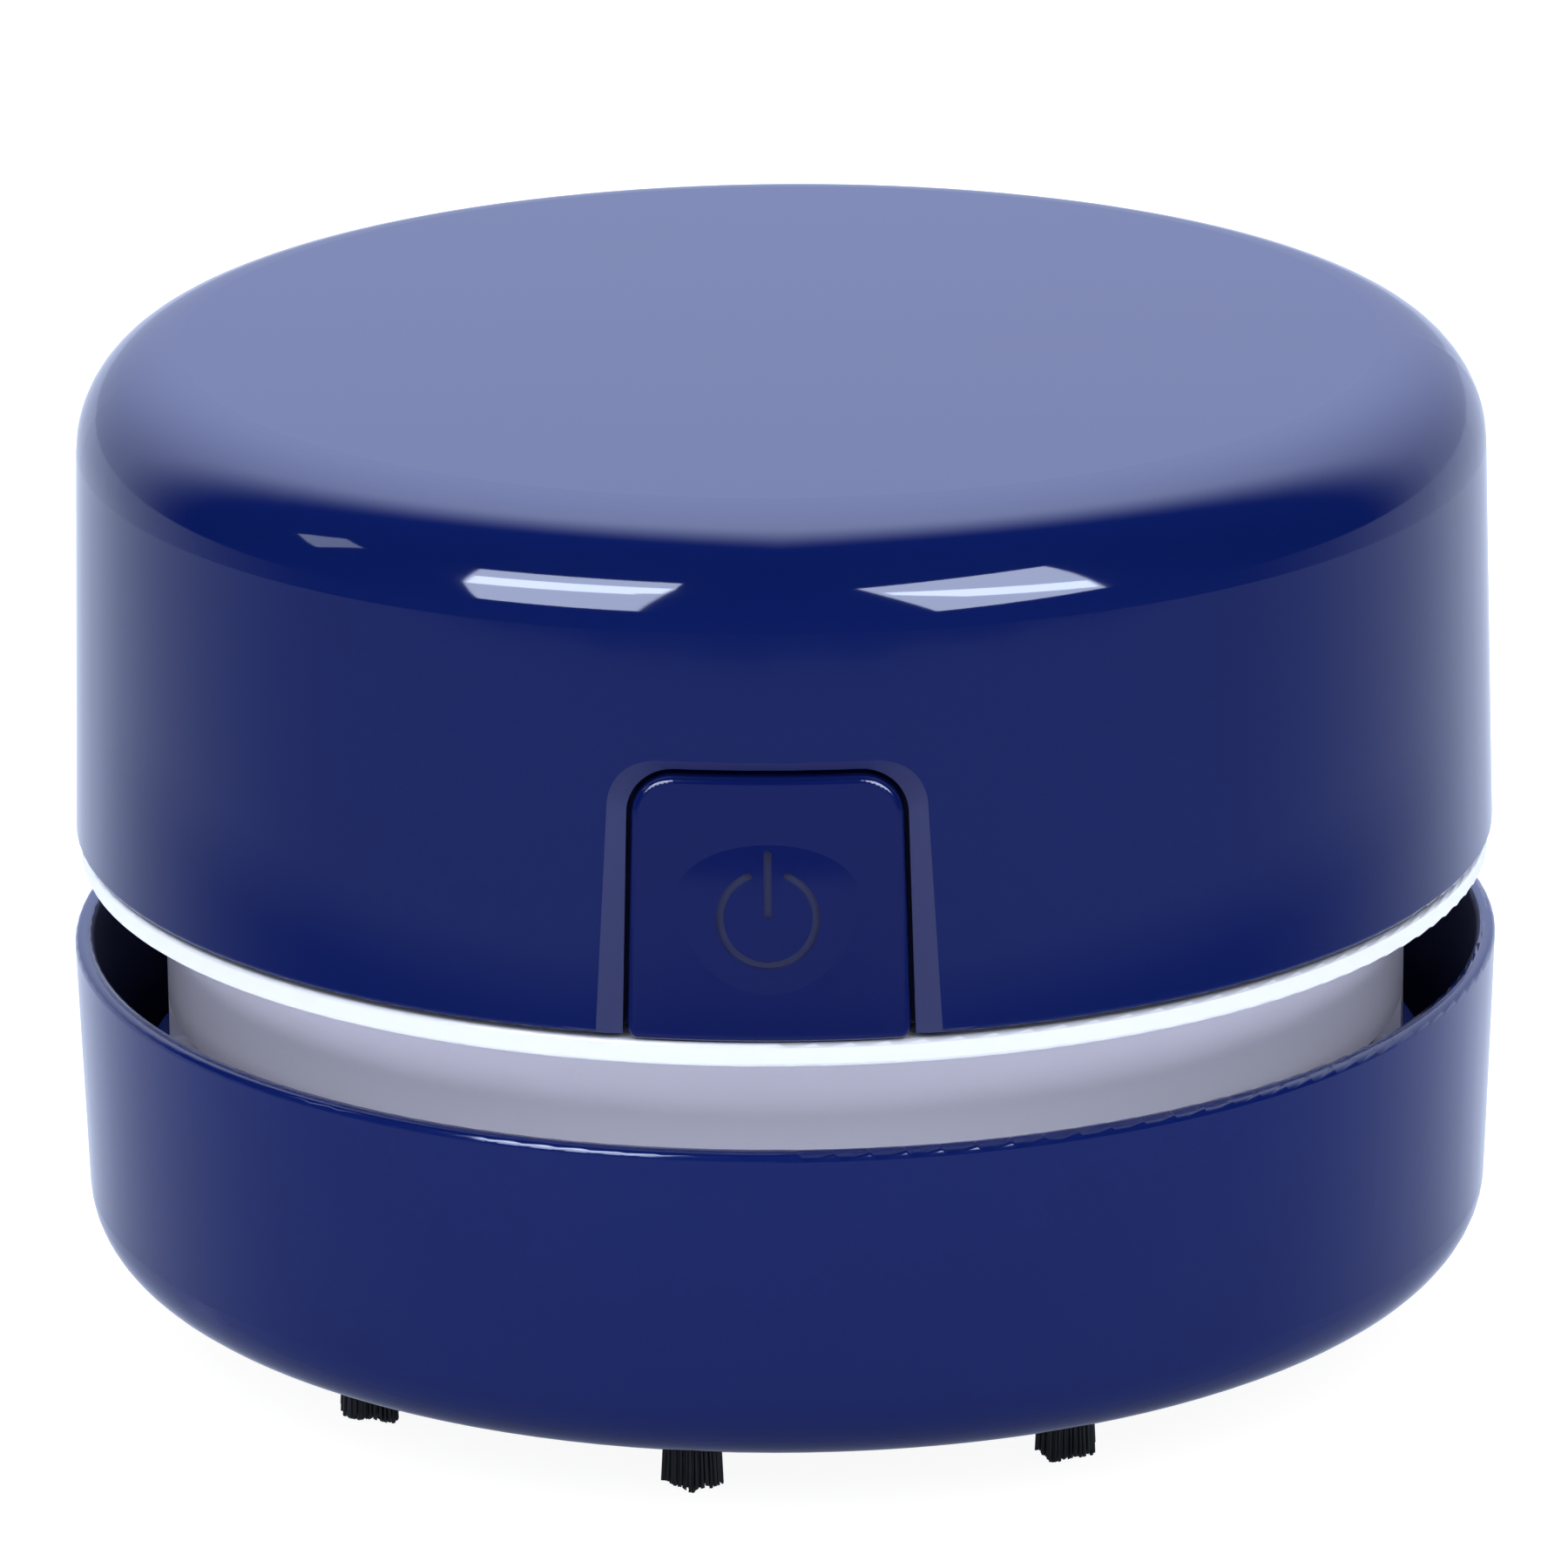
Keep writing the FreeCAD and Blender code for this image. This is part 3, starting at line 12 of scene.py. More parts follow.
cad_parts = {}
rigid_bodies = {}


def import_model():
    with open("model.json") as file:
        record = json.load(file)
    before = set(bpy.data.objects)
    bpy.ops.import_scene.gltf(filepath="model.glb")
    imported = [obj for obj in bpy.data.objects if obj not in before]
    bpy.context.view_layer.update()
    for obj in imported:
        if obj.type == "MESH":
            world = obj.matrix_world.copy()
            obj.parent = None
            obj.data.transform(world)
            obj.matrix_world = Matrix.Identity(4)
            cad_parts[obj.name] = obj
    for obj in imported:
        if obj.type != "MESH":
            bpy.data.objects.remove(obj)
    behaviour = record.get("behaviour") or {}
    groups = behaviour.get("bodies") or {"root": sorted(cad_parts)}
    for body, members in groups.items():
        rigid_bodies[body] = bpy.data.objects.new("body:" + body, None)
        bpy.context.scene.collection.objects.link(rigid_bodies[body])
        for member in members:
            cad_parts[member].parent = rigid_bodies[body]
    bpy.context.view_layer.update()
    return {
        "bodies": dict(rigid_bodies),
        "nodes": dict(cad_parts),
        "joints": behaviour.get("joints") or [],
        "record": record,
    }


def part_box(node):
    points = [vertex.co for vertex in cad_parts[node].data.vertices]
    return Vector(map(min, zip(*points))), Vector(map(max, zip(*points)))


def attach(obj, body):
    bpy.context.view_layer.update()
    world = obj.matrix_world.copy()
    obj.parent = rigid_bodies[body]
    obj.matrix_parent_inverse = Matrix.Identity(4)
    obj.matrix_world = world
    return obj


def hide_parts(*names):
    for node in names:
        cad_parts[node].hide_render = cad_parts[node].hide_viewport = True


log = logging.getLogger("desk_vacuum")

MM = 0.001
UP = Vector((0.0, 0.0, 1.0))

# The Mix node has three sets of inputs with the same names, so its colour sockets go by their numbers.
MIX_FIRST_COLOUR = 6
MIX_SECOND_COLOUR = 7
MIX_COLOUR_RESULT = 2


def linear(code: str) -> tuple[float, float, float, float]:
    """Turn an sRGB hex colour into linear light.

    Args:
        code: Six hex digits, with or without a hash.

    Returns:
        Red, green and blue in linear light, and a full alpha.
    """
    digits = code.lstrip("#")
    channels = [int(digits[start:start + 2], 16) / 255 for start in (0, 2, 4)]
    red, green, blue = [c / 12.92 if c <= 0.04045 else ((c + 0.055) / 1.055) ** 2.4 for c in channels]
    return red, green, blue, 1.0


def add_node(tree: bpy.types.NodeTree, kind: str, inputs: Optional[dict[Any, Any]] = None,
             **settings: Any) -> bpy.types.Node:
    """Add a node to a tree, with its settings and links.

    Args:
        tree: The tree that gets the node.
        kind: The node's type name.
        inputs: For each input, by name or number, a value or the output that feeds it.
        settings: Properties of the node itself.

    Returns:
        The new node.
    """
    node = tree.nodes.new(kind)
    for name, value in settings.items():
        setattr(node, name, value)
    for name, value in (inputs or {}).items():
        if isinstance(value, bpy.types.NodeSocket):
            tree.links.new(value, node.inputs[name])
        else:
            node.inputs[name].default_value = value
    return node


class Grain(Enum):
    """The kinds of fine relief that a surface has from the way it was made."""

    SMOOTH = "smooth"
    SPARK = "spark"
    BRUSHED = "brushed"
    FIBRE = "fibre"
    TURNS = "turns"
    SPECKLE = "speckle"


# What the finishes share: the detail of each kind of cloudy grain, how far wound turns wander, the cloud of
# the slow mottle with the span of it that is used, and how deep light goes into pale plastic.
GRAIN_DETAIL = {Grain.SMOOTH: 1.0, Grain.SPARK: 4.0, Grain.BRUSHED: 6.0, Grain.FIBRE: 8.0}
GRAIN_ROUGHNESS = 0.6
TURN_WANDER = 0.4
MOTTLE_DETAIL = 2.0
MOTTLE_ROUGHNESS = 0.5
MOTTLE_SPAN = (0.3, 0.7)
SCATTER_DEPTH = 1.5 * MM


@dataclass(frozen=True)
class Finish:
    """A finish: the real material, its colours, its gloss and the relief of its surface.

    Lengths are in millimetres. The mottle is the slow change of colour over the surface.
    """

    name: str
    colour: str
    shade: str
    roughness: float
    grain: Grain = Grain.SMOOTH
    grain_size: float = 0.5
    relief: float = 0.004
    stretch: tuple[float, float, float] = (1.0, 1.0, 1.0)
    mottle_size: float = 9.0
    mottle: float = 0.5
    gloss_spread: float = 0.03
    metallic: float = 0.0
    ior: float = 1.5
    coat: float = 0.0
    coat_roughness: float = 0.03
    transmission: float = 0.0
    sheen: float = 0.0
    subsurface: float = 0.0

    def texture(self, tree: bpy.types.NodeTree, place: bpy.types.NodeSocket) -> bpy.types.NodeSocket:
        """Add the relief's pattern.

        Args:
            tree: The material's tree.
            place: Object coordinates.

        Returns:
            The pattern's height, from 0 to 1.
        """
        scale = 1.0 / (self.grain_size * MM)
        mapped = add_node(tree, "ShaderNodeMapping", {"Vector": place, "Scale": self.stretch}).outputs[0]
        if self.grain is Grain.TURNS:
            wave = add_node(tree, "ShaderNodeTexWave",
                            {"Vector": mapped, "Scale": scale / math.tau, "Distortion": TURN_WANDER,
                             "Detail": 1.0}, wave_type="BANDS", bands_direction="Z")
            return wave.outputs["Fac"]
        if self.grain is Grain.SPECKLE:
            cells = add_node(tree, "ShaderNodeTexVoronoi", {"Vector": mapped, "Scale": scale},
                             feature="SMOOTH_F1")
            return cells.outputs["Distance"]
        cloud = add_node(tree, "ShaderNodeTexNoise",
                         {"Vector": mapped, "Scale": scale, "Detail": GRAIN_DETAIL[self.grain],
                          "Roughness": GRAIN_ROUGHNESS})
        return cloud.outputs["Fac"]

    def material(self) -> bpy.types.Material:
        """Return the finish as a material, made once and then used again."""
        known = bpy.data.materials.get(self.name)
        if known is not None and known.get("desk_vacuum"):
            return known
        material = bpy.data.materials.new(self.name)
        material["desk_vacuum"] = True
        material.use_nodes = True
        tree = material.node_tree
        tree.nodes.clear()
        place = add_node(tree, "ShaderNodeTexCoord").outputs["Object"]
        slow = add_node(tree, "ShaderNodeTexNoise",
                        {"Vector": place, "Scale": 1.0 / (self.mottle_size * MM), "Detail": MOTTLE_DETAIL,
                         "Roughness": MOTTLE_ROUGHNESS}).outputs["Fac"]
        low, high = MOTTLE_SPAN
        share = add_node(tree, "ShaderNodeMapRange",
                         {"Value": slow, "From Min": low, "From Max": high, "To Min": 0.0,
                          "To Max": self.mottle}).outputs[0]
        colour = add_node(tree, "ShaderNodeMix",
                          {"Factor": share, MIX_FIRST_COLOUR: linear(self.colour),
                           MIX_SECOND_COLOUR: linear(self.shade)},
                          data_type="RGBA").outputs[MIX_COLOUR_RESULT]
        height = self.texture(tree, place)
        gloss = add_node(tree, "ShaderNodeMapRange",
                         {"Value": height, "To Min": self.roughness - self.gloss_spread,
                          "To Max": self.roughness + self.gloss_spread}).outputs[0]
        bump = add_node(tree, "ShaderNodeBump",
                        {"Height": height, "Distance": self.relief * MM, "Strength": 1.0})
        surface = add_node(tree, "ShaderNodeBsdfPrincipled",
                           {"Base Color": colour, "Roughness": gloss, "Normal": bump.outputs[0],
                            "Metallic": self.metallic, "IOR": self.ior, "Coat Weight": self.coat,
                            "Coat Roughness": self.coat_roughness, "Transmission Weight": self.transmission,
                            "Sheen Weight": self.sheen, "Subsurface Weight": self.subsurface,
                            "Subsurface Scale": SCATTER_DEPTH})
        add_node(tree, "ShaderNodeOutputMaterial", {"Surface": surface.outputs[0]})
        return material


# Finishes of the outer shells. ABS is injection moulded in a polished tool: deep colour, sharp reflections
# and only a slow waviness. The spark-eroded parts come from an unpolished tool and look satin.
COVER_BLUE = Finish("gloss_abs_cover_blue", "#07144B", "#061347", 0.05, grain_size=6.0, relief=0.002,
                    gloss_spread=0.01, mottle_size=25.0, ior=1.5)
BUTTON_BLUE = Finish("gloss_abs_button_blue", "#061148", "#051044", 0.09, grain_size=4.0, relief=0.002,
                     gloss_spread=0.02, mottle_size=12.0, ior=1.45)
CUP_BLUE = Finish("gloss_abs_cup_blue", "#091854", "#081650", 0.10, grain_size=6.0, relief=0.003,
                  gloss_spread=0.02, mottle_size=25.0, ior=1.48)
# Painted sheen: the satin facets and groove floors get a slightly lighter blue than the cover, standing in
# for the light they catch in the recess.
SATIN_BLUE_PAINTED_SHEEN = Finish("spark_eroded_abs_blue_painted_sheen", "#091652", "#08144D", 0.46, Grain.SPARK, 0.14, 0.008)
# Painted shade: the cup's inner wall gets a much darker blue than the cup itself, standing in for the shade
# in its deep gap.
CUP_INSIDE_PAINTED_SHADE = Finish("cup_inside_painted_shade", "#040A2E", "#030929", 0.5, Grain.SPARK, 0.14, 0.008,
                         ior=1.4)
WHITE_ABS = Finish("gloss_abs_white", "#CBD2E0", "#C9D0DF", 0.16, grain_size=5.0, relief=0.0,
                   mottle_size=20.0)
HOUSING_WHITE = Finish("satin_abs_white", "#CFD1EA", "#CDCFE8", 0.22, grain_size=3.0, relief=0.0,
                       mottle_size=14.0)
IMPELLER_WHITE = Finish("satin_abs_impeller", "#DCDDDA", "#D2D4D0", 0.38, Grain.SPARK, 0.12, 0.004)
PLUNGER_WHITE = Finish("acetal_plunger", "#E8E6DC", "#DEDCD0", 0.32, Grain.SPARK, 0.1, 0.003, subsurface=0.2)
MOTOR_PLASTIC = Finish("glass_filled_nylon", "#D8D4C8", "#C9C4B6", 0.5, Grain.SPARK, 0.15, 0.008)
FRAME_GREY = Finish("satin_abs_grey", "#8C9098", "#7F838C", 0.42, Grain.SPARK, 0.12, 0.006)

# Soft and fibrous pieces. Felt is needled polyester, the seal is moulded rubber, bristles are drawn nylon.
FILTER_FELT = Finish("needled_polyester_felt", "#D4D3CE", "#BDBCB6", 0.9, Grain.FIBRE, 0.35, 0.12,
                     mottle_size=2.5, mottle=0.8, sheen=0.35)
SEAL_RUBBER = Finish("moulded_rubber", "#26262A", "#1C1C1F", 0.6, Grain.SPARK, 0.2, 0.01)
BRISTLE_BLACK = Finish("drawn_nylon_black", "#030304", "#060608", 0.5, Grain.BRUSHED, 0.2, 0.004,
                       stretch=(1.0, 1.0, 0.1), mottle_size=1.5)

# Metals. Pressed or turned and then plated, so fine lines run along the tool's path. Copper is drawn and
# enamelled.
MOTOR_STEEL = Finish("zinc_plated_steel", "#C6C7C4", "#B4B6B2", 0.3, Grain.BRUSHED, 0.25, 0.003,
                     stretch=(1.0, 1.0, 0.08), metallic=1.0)
CORE_STEEL = Finish("stacked_core_steel", "#8A8B8C", "#6E6F70", 0.4, Grain.TURNS, 0.5, 0.03, metallic=1.0)
SCREW_STEEL = Finish("zinc_plated_screw", "#CFCFCD", "#B9BAB8", 0.26, Grain.BRUSHED, 0.15, 0.003,
                     metallic=1.0)
SOCKET_STEEL = Finish("nickel_plated_socket", "#D6D5D0", "#C6C5C0", 0.2, Grain.BRUSHED, 0.2, 0.002,
                      stretch=(1.0, 0.1, 1.0), metallic=1.0)
TAB_NICKEL = Finish("nickel_strip", "#CBC8BD", "#BDB9AC", 0.34, Grain.BRUSHED, 0.2, 0.004,
                    stretch=(1.0, 1.0, 0.1), metallic=1.0)
CONTACT_BRASS = Finish("rolled_brass", "#D9B35A", "#C49A44", 0.28, Grain.BRUSHED, 0.15, 0.003, metallic=1.0)
COPPER_WIRE = Finish("enamelled_copper_wire", "#B4592A", "#9A4620", 0.3, Grain.TURNS, 0.24, 0.09,
                     metallic=1.0, coat=0.6, coat_roughness=0.08)
MAGNET_GREY = Finish("sintered_ferrite", "#4B4C4E", "#3C3D3F", 0.62, Grain.SPECKLE, 0.25, 0.01, metallic=0.3)

# Electrical parts: printed film, solder mask, moulded epoxy and extruded lead insulation.
CELL_SLEEVE = Finish("shrink_sleeve_green", "#2E7D4E", "#276D44", 0.24, grain_size=2.5, relief=0.02)
BOARD_GREEN = Finish("solder_mask_green", "#1F6B3A", "#195A31", 0.3, Grain.SPARK, 0.3, 0.004)
CHIP_BLACK = Finish("moulded_epoxy", "#1B1C1E", "#242527", 0.6, Grain.SPARK, 0.08, 0.006)
LIGHT_WHITE = Finish("cast_led_resin", "#EFE6B8", "#E8DC9E", 0.2, transmission=0.2, subsurface=0.3)
CLEAR_PLASTIC = Finish("polished_acrylic", "#EEF3F7", "#E6EDF2", 0.06, transmission=0.9, ior=1.49)
LEAD_RED = Finish("soft_pvc_red", "#A8201F", "#931A1A", 0.45, Grain.SPARK, 0.3, 0.004)
LEAD_BLACK = Finish("soft_pvc_black", "#1E1E20", "#27272A", 0.45, Grain.SPARK, 0.3, 0.004)
LEAD_WHITE = Finish("soft_pvc_white", "#DCDCD8", "#CFCFCB", 0.45, Grain.SPARK, 0.3, 0.004)

SLOT_FINISHES: dict[str, Finish] = {
    "cover_blue": COVER_BLUE, "button_blue": BUTTON_BLUE, "cup_blue": CUP_BLUE, "white_plastic": WHITE_ABS,
    "housing_white": HOUSING_WHITE, "impeller_white": IMPELLER_WHITE, "plunger_white": PLUNGER_WHITE,
    "motor_plastic": MOTOR_PLASTIC, "frame_grey": FRAME_GREY, "filter_felt": FILTER_FELT,
    "seal_rubber": SEAL_RUBBER, "bristle_black": BRISTLE_BLACK, "motor_steel": MOTOR_STEEL,
    "core_steel": CORE_STEEL, "screw_steel": SCREW_STEEL, "socket_steel": SOCKET_STEEL,
    "tab_nickel": TAB_NICKEL, "contact_brass": CONTACT_BRASS, "copper_wire": COPPER_WIRE,
    "magnet_grey": MAGNET_GREY, "cell_sleeve": CELL_SLEEVE, "board_green": BOARD_GREEN,
    "chip_black": CHIP_BLACK, "light_white": LIGHT_WHITE, "clear_plastic": CLEAR_PLASTIC,
    "lead_red": LEAD_RED, "lead_black": LEAD_BLACK, "lead_white": LEAD_WHITE,
}


def dress(piece: bpy.types.Object, finish: Finish) -> None:
    """Give a piece, or a node of the frame, one finish all over."""
    piece.data.materials.clear()
    piece.data.materials.append(finish.material())


def dress_faces(piece: bpy.types.Object, finish: Finish, chosen: Callable[[Vector, Vector], bool]) -> int:
    """Give some faces of a dressed piece another finish.

    Args:
        piece: The piece, or a node of the frame.
        finish: The finish of the chosen faces.
        chosen: Tells from a face's centre and normal whether it is chosen.

    Returns:
        How many faces were chosen.
    """
    piece.data.materials.append(finish.material())
    slot = len(piece.data.materials) - 1
    faces = [face for face in piece.data.polygons if chosen(face.center, face.normal)]
    for face in faces:
        face.material_index = slot
    return len(faces)


def link_mesh(name: str, mesh: bpy.types.Mesh) -> bpy.types.Object:
    """Put a mesh in the scene as an object at the origin.

    Args:
        name: The piece's name.
        mesh: Its mesh, in the frame's metres.

    Returns:
        The new object.
    """
    piece = bpy.data.objects.new(name, mesh)
    bpy.context.scene.collection.objects.link(piece)
    return piece


def bake_tree(name: str, tree: bpy.types.NodeTree, sizes: dict[str, Any]) -> bpy.types.Object:
    """Run a geometry tree once and keep its result as a plain mesh.

    Args:
        name: The piece's name.
        tree: The geometry tree.
        sizes: A value for each named input of the tree.

    Returns:
        The piece, with no modifier left on it.
    """
    start = link_mesh(name + "_start", bpy.data.meshes.new(name + "_start"))
    modifier = start.modifiers.new(name, "NODES")
    modifier.node_group = tree
    for item in tree.interface.items_tree:
        if item.item_type == "SOCKET" and item.in_out == "INPUT" and item.name in sizes:
            modifier[item.identifier] = sizes[item.name]
    bpy.context.view_layer.update()
    graph = bpy.context.evaluated_depsgraph_get()
    mesh = bpy.data.meshes.new_from_object(start.evaluated_get(graph))
    mesh.name = name
    bpy.data.objects.remove(start)
    return link_mesh(name, mesh)


def geometry_tree(name: str, inputs: Sequence[tuple[str, str, float]]) -> tuple[bpy.types.NodeTree, Any, Any]:
    """Start a geometry tree with named inputs.

    Args:
        name: The tree's name.
        inputs: The name, socket type and default of each input.

    Returns:
        The tree, its group input and its group output.
    """
    tree = bpy.data.node_groups.new(name, "GeometryNodeTree")
    tree.interface.new_socket("Geometry", in_out="INPUT", socket_type="NodeSocketGeometry")
    for label, kind, value in inputs:
        tree.interface.new_socket(label, in_out="INPUT", socket_type=kind).default_value = value
    tree.interface.new_socket("Geometry", in_out="OUTPUT", socket_type="NodeSocketGeometry")
    return tree, add_node(tree, "NodeGroupInput"), add_node(tree, "NodeGroupOutput")


@dataclass(frozen=True)
class Lamp:
    """A square soft lamp that faces the object from an azimuth and elevation in degrees.

    A flag keeps its light off the nodes that are named as shaded.
    """

    name: str
    power: float
    azimuth: float
    elevation: float
    size: float
    shaded: tuple[str, ...] = ()


@dataclass(frozen=True)
class Panel:
    """A bright sheet that shows in gloss only.

    Its corners are azimuths and elevations in degrees, as the object sees them. A glow of 1 is white.
    """

    name: str
    corners: Sequence[tuple[float, float]]
    glow: float
    reach: float = 1.0


# The soft lamps. The one behind lights the top and would bleach the white pieces. The two in front lift the
# shadows.
LAMPS = (
    Lamp("back_lamp", 36.0, 180.0, 48.0, 0.8, ("fan_housing", "chassis")),
    Lamp("left_lamp", 4.4, -32.0, 38.0, 0.6),
    Lamp("right_lamp", 4.4, 32.0, 38.0, 0.6),
)

# The soft boxes, each with a brighter tube a little in front of it, whose reflections lie on the cover's
# shoulder, and a small one far to the left.
PANELS = (
    Panel("left_panel", ((-51.3, 32.5), (-50.6, 19.5), (-46.7, 6.6), (-20.8, 8.3), (-16.2, 37.0)), 12.0),
    Panel("left_tube", ((-50.0, 26.0), (-50.0, 19.0), (-19.0, 24.5), (-17.6, 31.5)), 26.0, 0.97),
    Panel("right_panel", ((14.2, 31.5), (24.7, 5.4), (52.3, 9.0), (47.7, 36.3)), 12.0),
    Panel("right_tube", ((18.0, 26.5), (21.5, 19.0), (51.4, 11.0), (50.4, 18.0)), 26.0, 0.97),
    Panel("far_panel", ((-86.6, 25.7), (-79.8, 20.9), (-73.8, 29.7), (-79.5, 32.9)), 3.5),
)


@dataclass
class Studio:
    """The floor, the surroundings, the lamps and the camera.

    The surroundings are bright behind and above the object and dim in front of it, as in a light tent that is
    open towards the camera. Gloss shows them, and the camera itself sees plain white. The table under the
    object glows in gloss too, with a dim ring, and is dark past its edge.
    """

    aim_height: float = 32.43 * MM
    distance: float = 550.5 * MM
    elevation: float = 17.76
    azimuth: float = 1.3
    roll: float = -0.47
    lens: float = 210.19
    sensor: float = 36.0
    near_clip: float = 0.05
    floor_size: float = 6.0
    floor_colour: str = "#EEEEEE"
    floor_light: float = 0.93
    floor_shade: float = 0.2
    table_radius: float = 0.262
    table_edge: float = 4.0 * MM
    table_turn: float = 0.025
    table_span: tuple[float, float] = (-0.3, 1.1)
    table_glow: float = 0.36
    table_lift: float = 0.25
    past_table: float = 0.02
    dim_ring: tuple[float, float, float, float] = (0.115, 0.125, 0.15, 0.172)
    dim_glow: float = 0.05
    tent: str = "#D9E5FF"
    tent_wall: float = 0.9
    tent_roof: float = 4.2
    tent_side: float = -0.6
    tent_span: tuple[float, float] = (-0.28, 0.25)
    sky: float = 0.42
    lamp_reach: float = 1.0

    def build(self, frame: dict[str, Any]) -> None:
        """Make the whole studio.

        Args:
            frame: The loaded frame.
        """
        self.camera()
        self.world()
        self.floor()
        for lamp in LAMPS:
            self.lamp(lamp, [frame["nodes"][name] for name in lamp.shaded])
        for panel in PANELS:
            self.panel(panel)
        bpy.context.scene.view_settings.view_transform = "Standard"

    def camera(self) -> None:
        """Make the camera at the photograph's viewing angle."""
        turn, rise = math.radians(self.azimuth), math.radians(self.elevation)
        back = Vector((math.sin(turn) * math.cos(rise), -math.cos(turn) * math.cos(rise), math.sin(rise)))
        right = Vector((math.cos(turn), math.sin(turn), 0.0))
        frame = Matrix((right, back.cross(right), back)).transposed().to_4x4()
        spot = Matrix.Translation(UP * self.aim_height + back * self.distance)
        data = bpy.data.cameras.new("camera")
        data.sensor_width = self.sensor
        data.lens = self.lens
        data.clip_start = self.near_clip
        camera = bpy.data.objects.new("camera", data)
        camera.matrix_world = spot @ frame @ Matrix.Rotation(math.radians(self.roll), 4, "Z")
        bpy.context.scene.collection.objects.link(camera)
        bpy.context.scene.camera = camera

    def behind(self, tree: bpy.types.NodeTree, place: bpy.types.NodeSocket) -> bpy.types.NodeSocket:
        """Add the nodes that tell how far a direction points behind the object.

        Args:
            tree: The tree that gets the nodes.
            place: The direction, of length 1.

        Returns:
            A value from 0 in front to 1 behind.
        """
        parts = add_node(tree, "ShaderNodeSeparateXYZ", {0: place}).outputs
        side = add_node(tree, "ShaderNodeMath", {0: parts["X"]}, operation="ABSOLUTE").outputs[0]
        reach = add_node(tree, "ShaderNodeMath", {0: side, 1: self.tent_side, 2: parts["Y"]},
                         operation="MULTIPLY_ADD").outputs[0]
        low, high = self.tent_span
        return add_node(tree, "ShaderNodeMapRange", {"Value": reach, "From Min": low, "From Max": high},
                        interpolation_type="SMOOTHSTEP").outputs[0]

    def world(self) -> None:
        """Make the surroundings: white to the camera, a bright tent to gloss, a weak sky to the rest."""
        world = bpy.data.worlds.new("studio")
        world.use_nodes = True
        tree = world.node_tree
        tree.nodes.clear()
        place = add_node(tree, "ShaderNodeTexCoord").outputs["Generated"]
        behind = self.behind(tree, place)
        height = add_node(tree, "ShaderNodeSeparateXYZ", {0: place}).outputs["Z"]
        square = add_node(tree, "ShaderNodeMath", {0: height, 1: height}, operation="MULTIPLY").outputs[0]
        roof = add_node(tree, "ShaderNodeMath", {0: square, 1: self.tent_roof, 2: self.tent_wall},
                        operation="MULTIPLY_ADD").outputs[0]
        tent = add_node(tree, "ShaderNodeMath", {0: roof, 1: behind}, operation="MULTIPLY").outputs[0]
        path = add_node(tree, "ShaderNodeLightPath").outputs
        shown = add_node(tree, "ShaderNodeMath", {0: path["Is Glossy Ray"], 1: path["Is Transmission Ray"]},
                         operation="MAXIMUM").outputs[0]
        sky = add_node(tree, "ShaderNodeBackground", {"Color": linear("#FFFFFF"), "Strength": self.sky})
        glow = add_node(tree, "ShaderNodeBackground", {"Color": linear(self.tent), "Strength": tent})
        white = add_node(tree, "ShaderNodeBackground", {"Color": linear("#FFFFFF"), "Strength": 1.0})
        dressed = add_node(tree, "ShaderNodeMixShader", {0: shown, 1: sky.outputs[0], 2: glow.outputs[0]})
        seen = add_node(tree, "ShaderNodeMixShader", {0: path["Is Camera Ray"], 1: dressed.outputs[0],
                                                      2: white.outputs[0]})
        add_node(tree, "ShaderNodeOutputWorld", {"Surface": seen.outputs[0]})
        bpy.context.scene.world = world

    def floor(self) -> None:
        """Make the floor, white with the object's shadow to the camera, and a round bright patch to gloss."""
        material = bpy.data.materials.new("studio_floor")
        material.use_nodes = True
        tree = material.node_tree
        tree.nodes.clear()
        place = add_node(tree, "ShaderNodeTexCoord").outputs["Object"]
        away = add_node(tree, "ShaderNodeVectorMath", {0: place}, operation="LENGTH").outputs["Value"]
        parts = add_node(tree, "ShaderNodeSeparateXYZ", {0: place}).outputs
        side = add_node(tree, "ShaderNodeMath", {0: parts["X"]}, operation="ABSOLUTE").outputs[0]
        back = add_node(tree, "ShaderNodeMath", {0: parts["Y"], 1: self.table_turn},
                        operation="ADD").outputs[0]
        reach = add_node(tree, "ShaderNodeMath", {0: back, 1: side}, operation="DIVIDE").outputs[0]
        low, high = self.table_span
        behind = add_node(tree, "ShaderNodeMapRange", {"Value": reach, "From Min": low, "From Max": high},
                          interpolation_type="SMOOTHSTEP").outputs[0]
        edges = add_node(tree, "ShaderNodeValToRGB", {"Fac": away})
        edges.color_ramp.interpolation = "LINEAR"
        near, dim, dim_end, far = self.dim_ring
        stops = ((near, self.table_glow), (dim, self.dim_glow), (dim_end, self.dim_glow),
                 (far, self.table_glow), (self.table_radius, self.table_glow),
                 (self.table_radius + self.table_edge, self.past_table))
        ramp = edges.color_ramp.elements
        for number, (radius, strength) in enumerate(stops):
            stop = ramp[number] if number < len(ramp) else ramp.new(radius)
            stop.position = radius
            stop.color = (strength, strength, strength, 1.0)
        patch = edges.outputs["Color"]
        glow = add_node(tree, "ShaderNodeMix",
                        {0: behind, 2: patch, 3: self.tent_wall + self.table_lift}).outputs[0]
        path = add_node(tree, "ShaderNodeLightPath").outputs
        shown = add_node(tree, "ShaderNodeMath", {0: path["Is Glossy Ray"], 1: path["Is Transmission Ray"]},
                         operation="MAXIMUM").outputs[0]
        pure = linear("#FFFFFF")
        pale = add_node(tree, "ShaderNodeBsdfDiffuse", {"Color": linear(self.floor_colour)})
        shade = add_node(tree, "ShaderNodeBsdfDiffuse", {"Color": (*[self.floor_shade] * 3, 1.0)})
        light = add_node(tree, "ShaderNodeEmission", {"Color": pure, "Strength": self.floor_light})
        white = add_node(tree, "ShaderNodeAddShader", {0: shade.outputs[0], 1: light.outputs[0]})
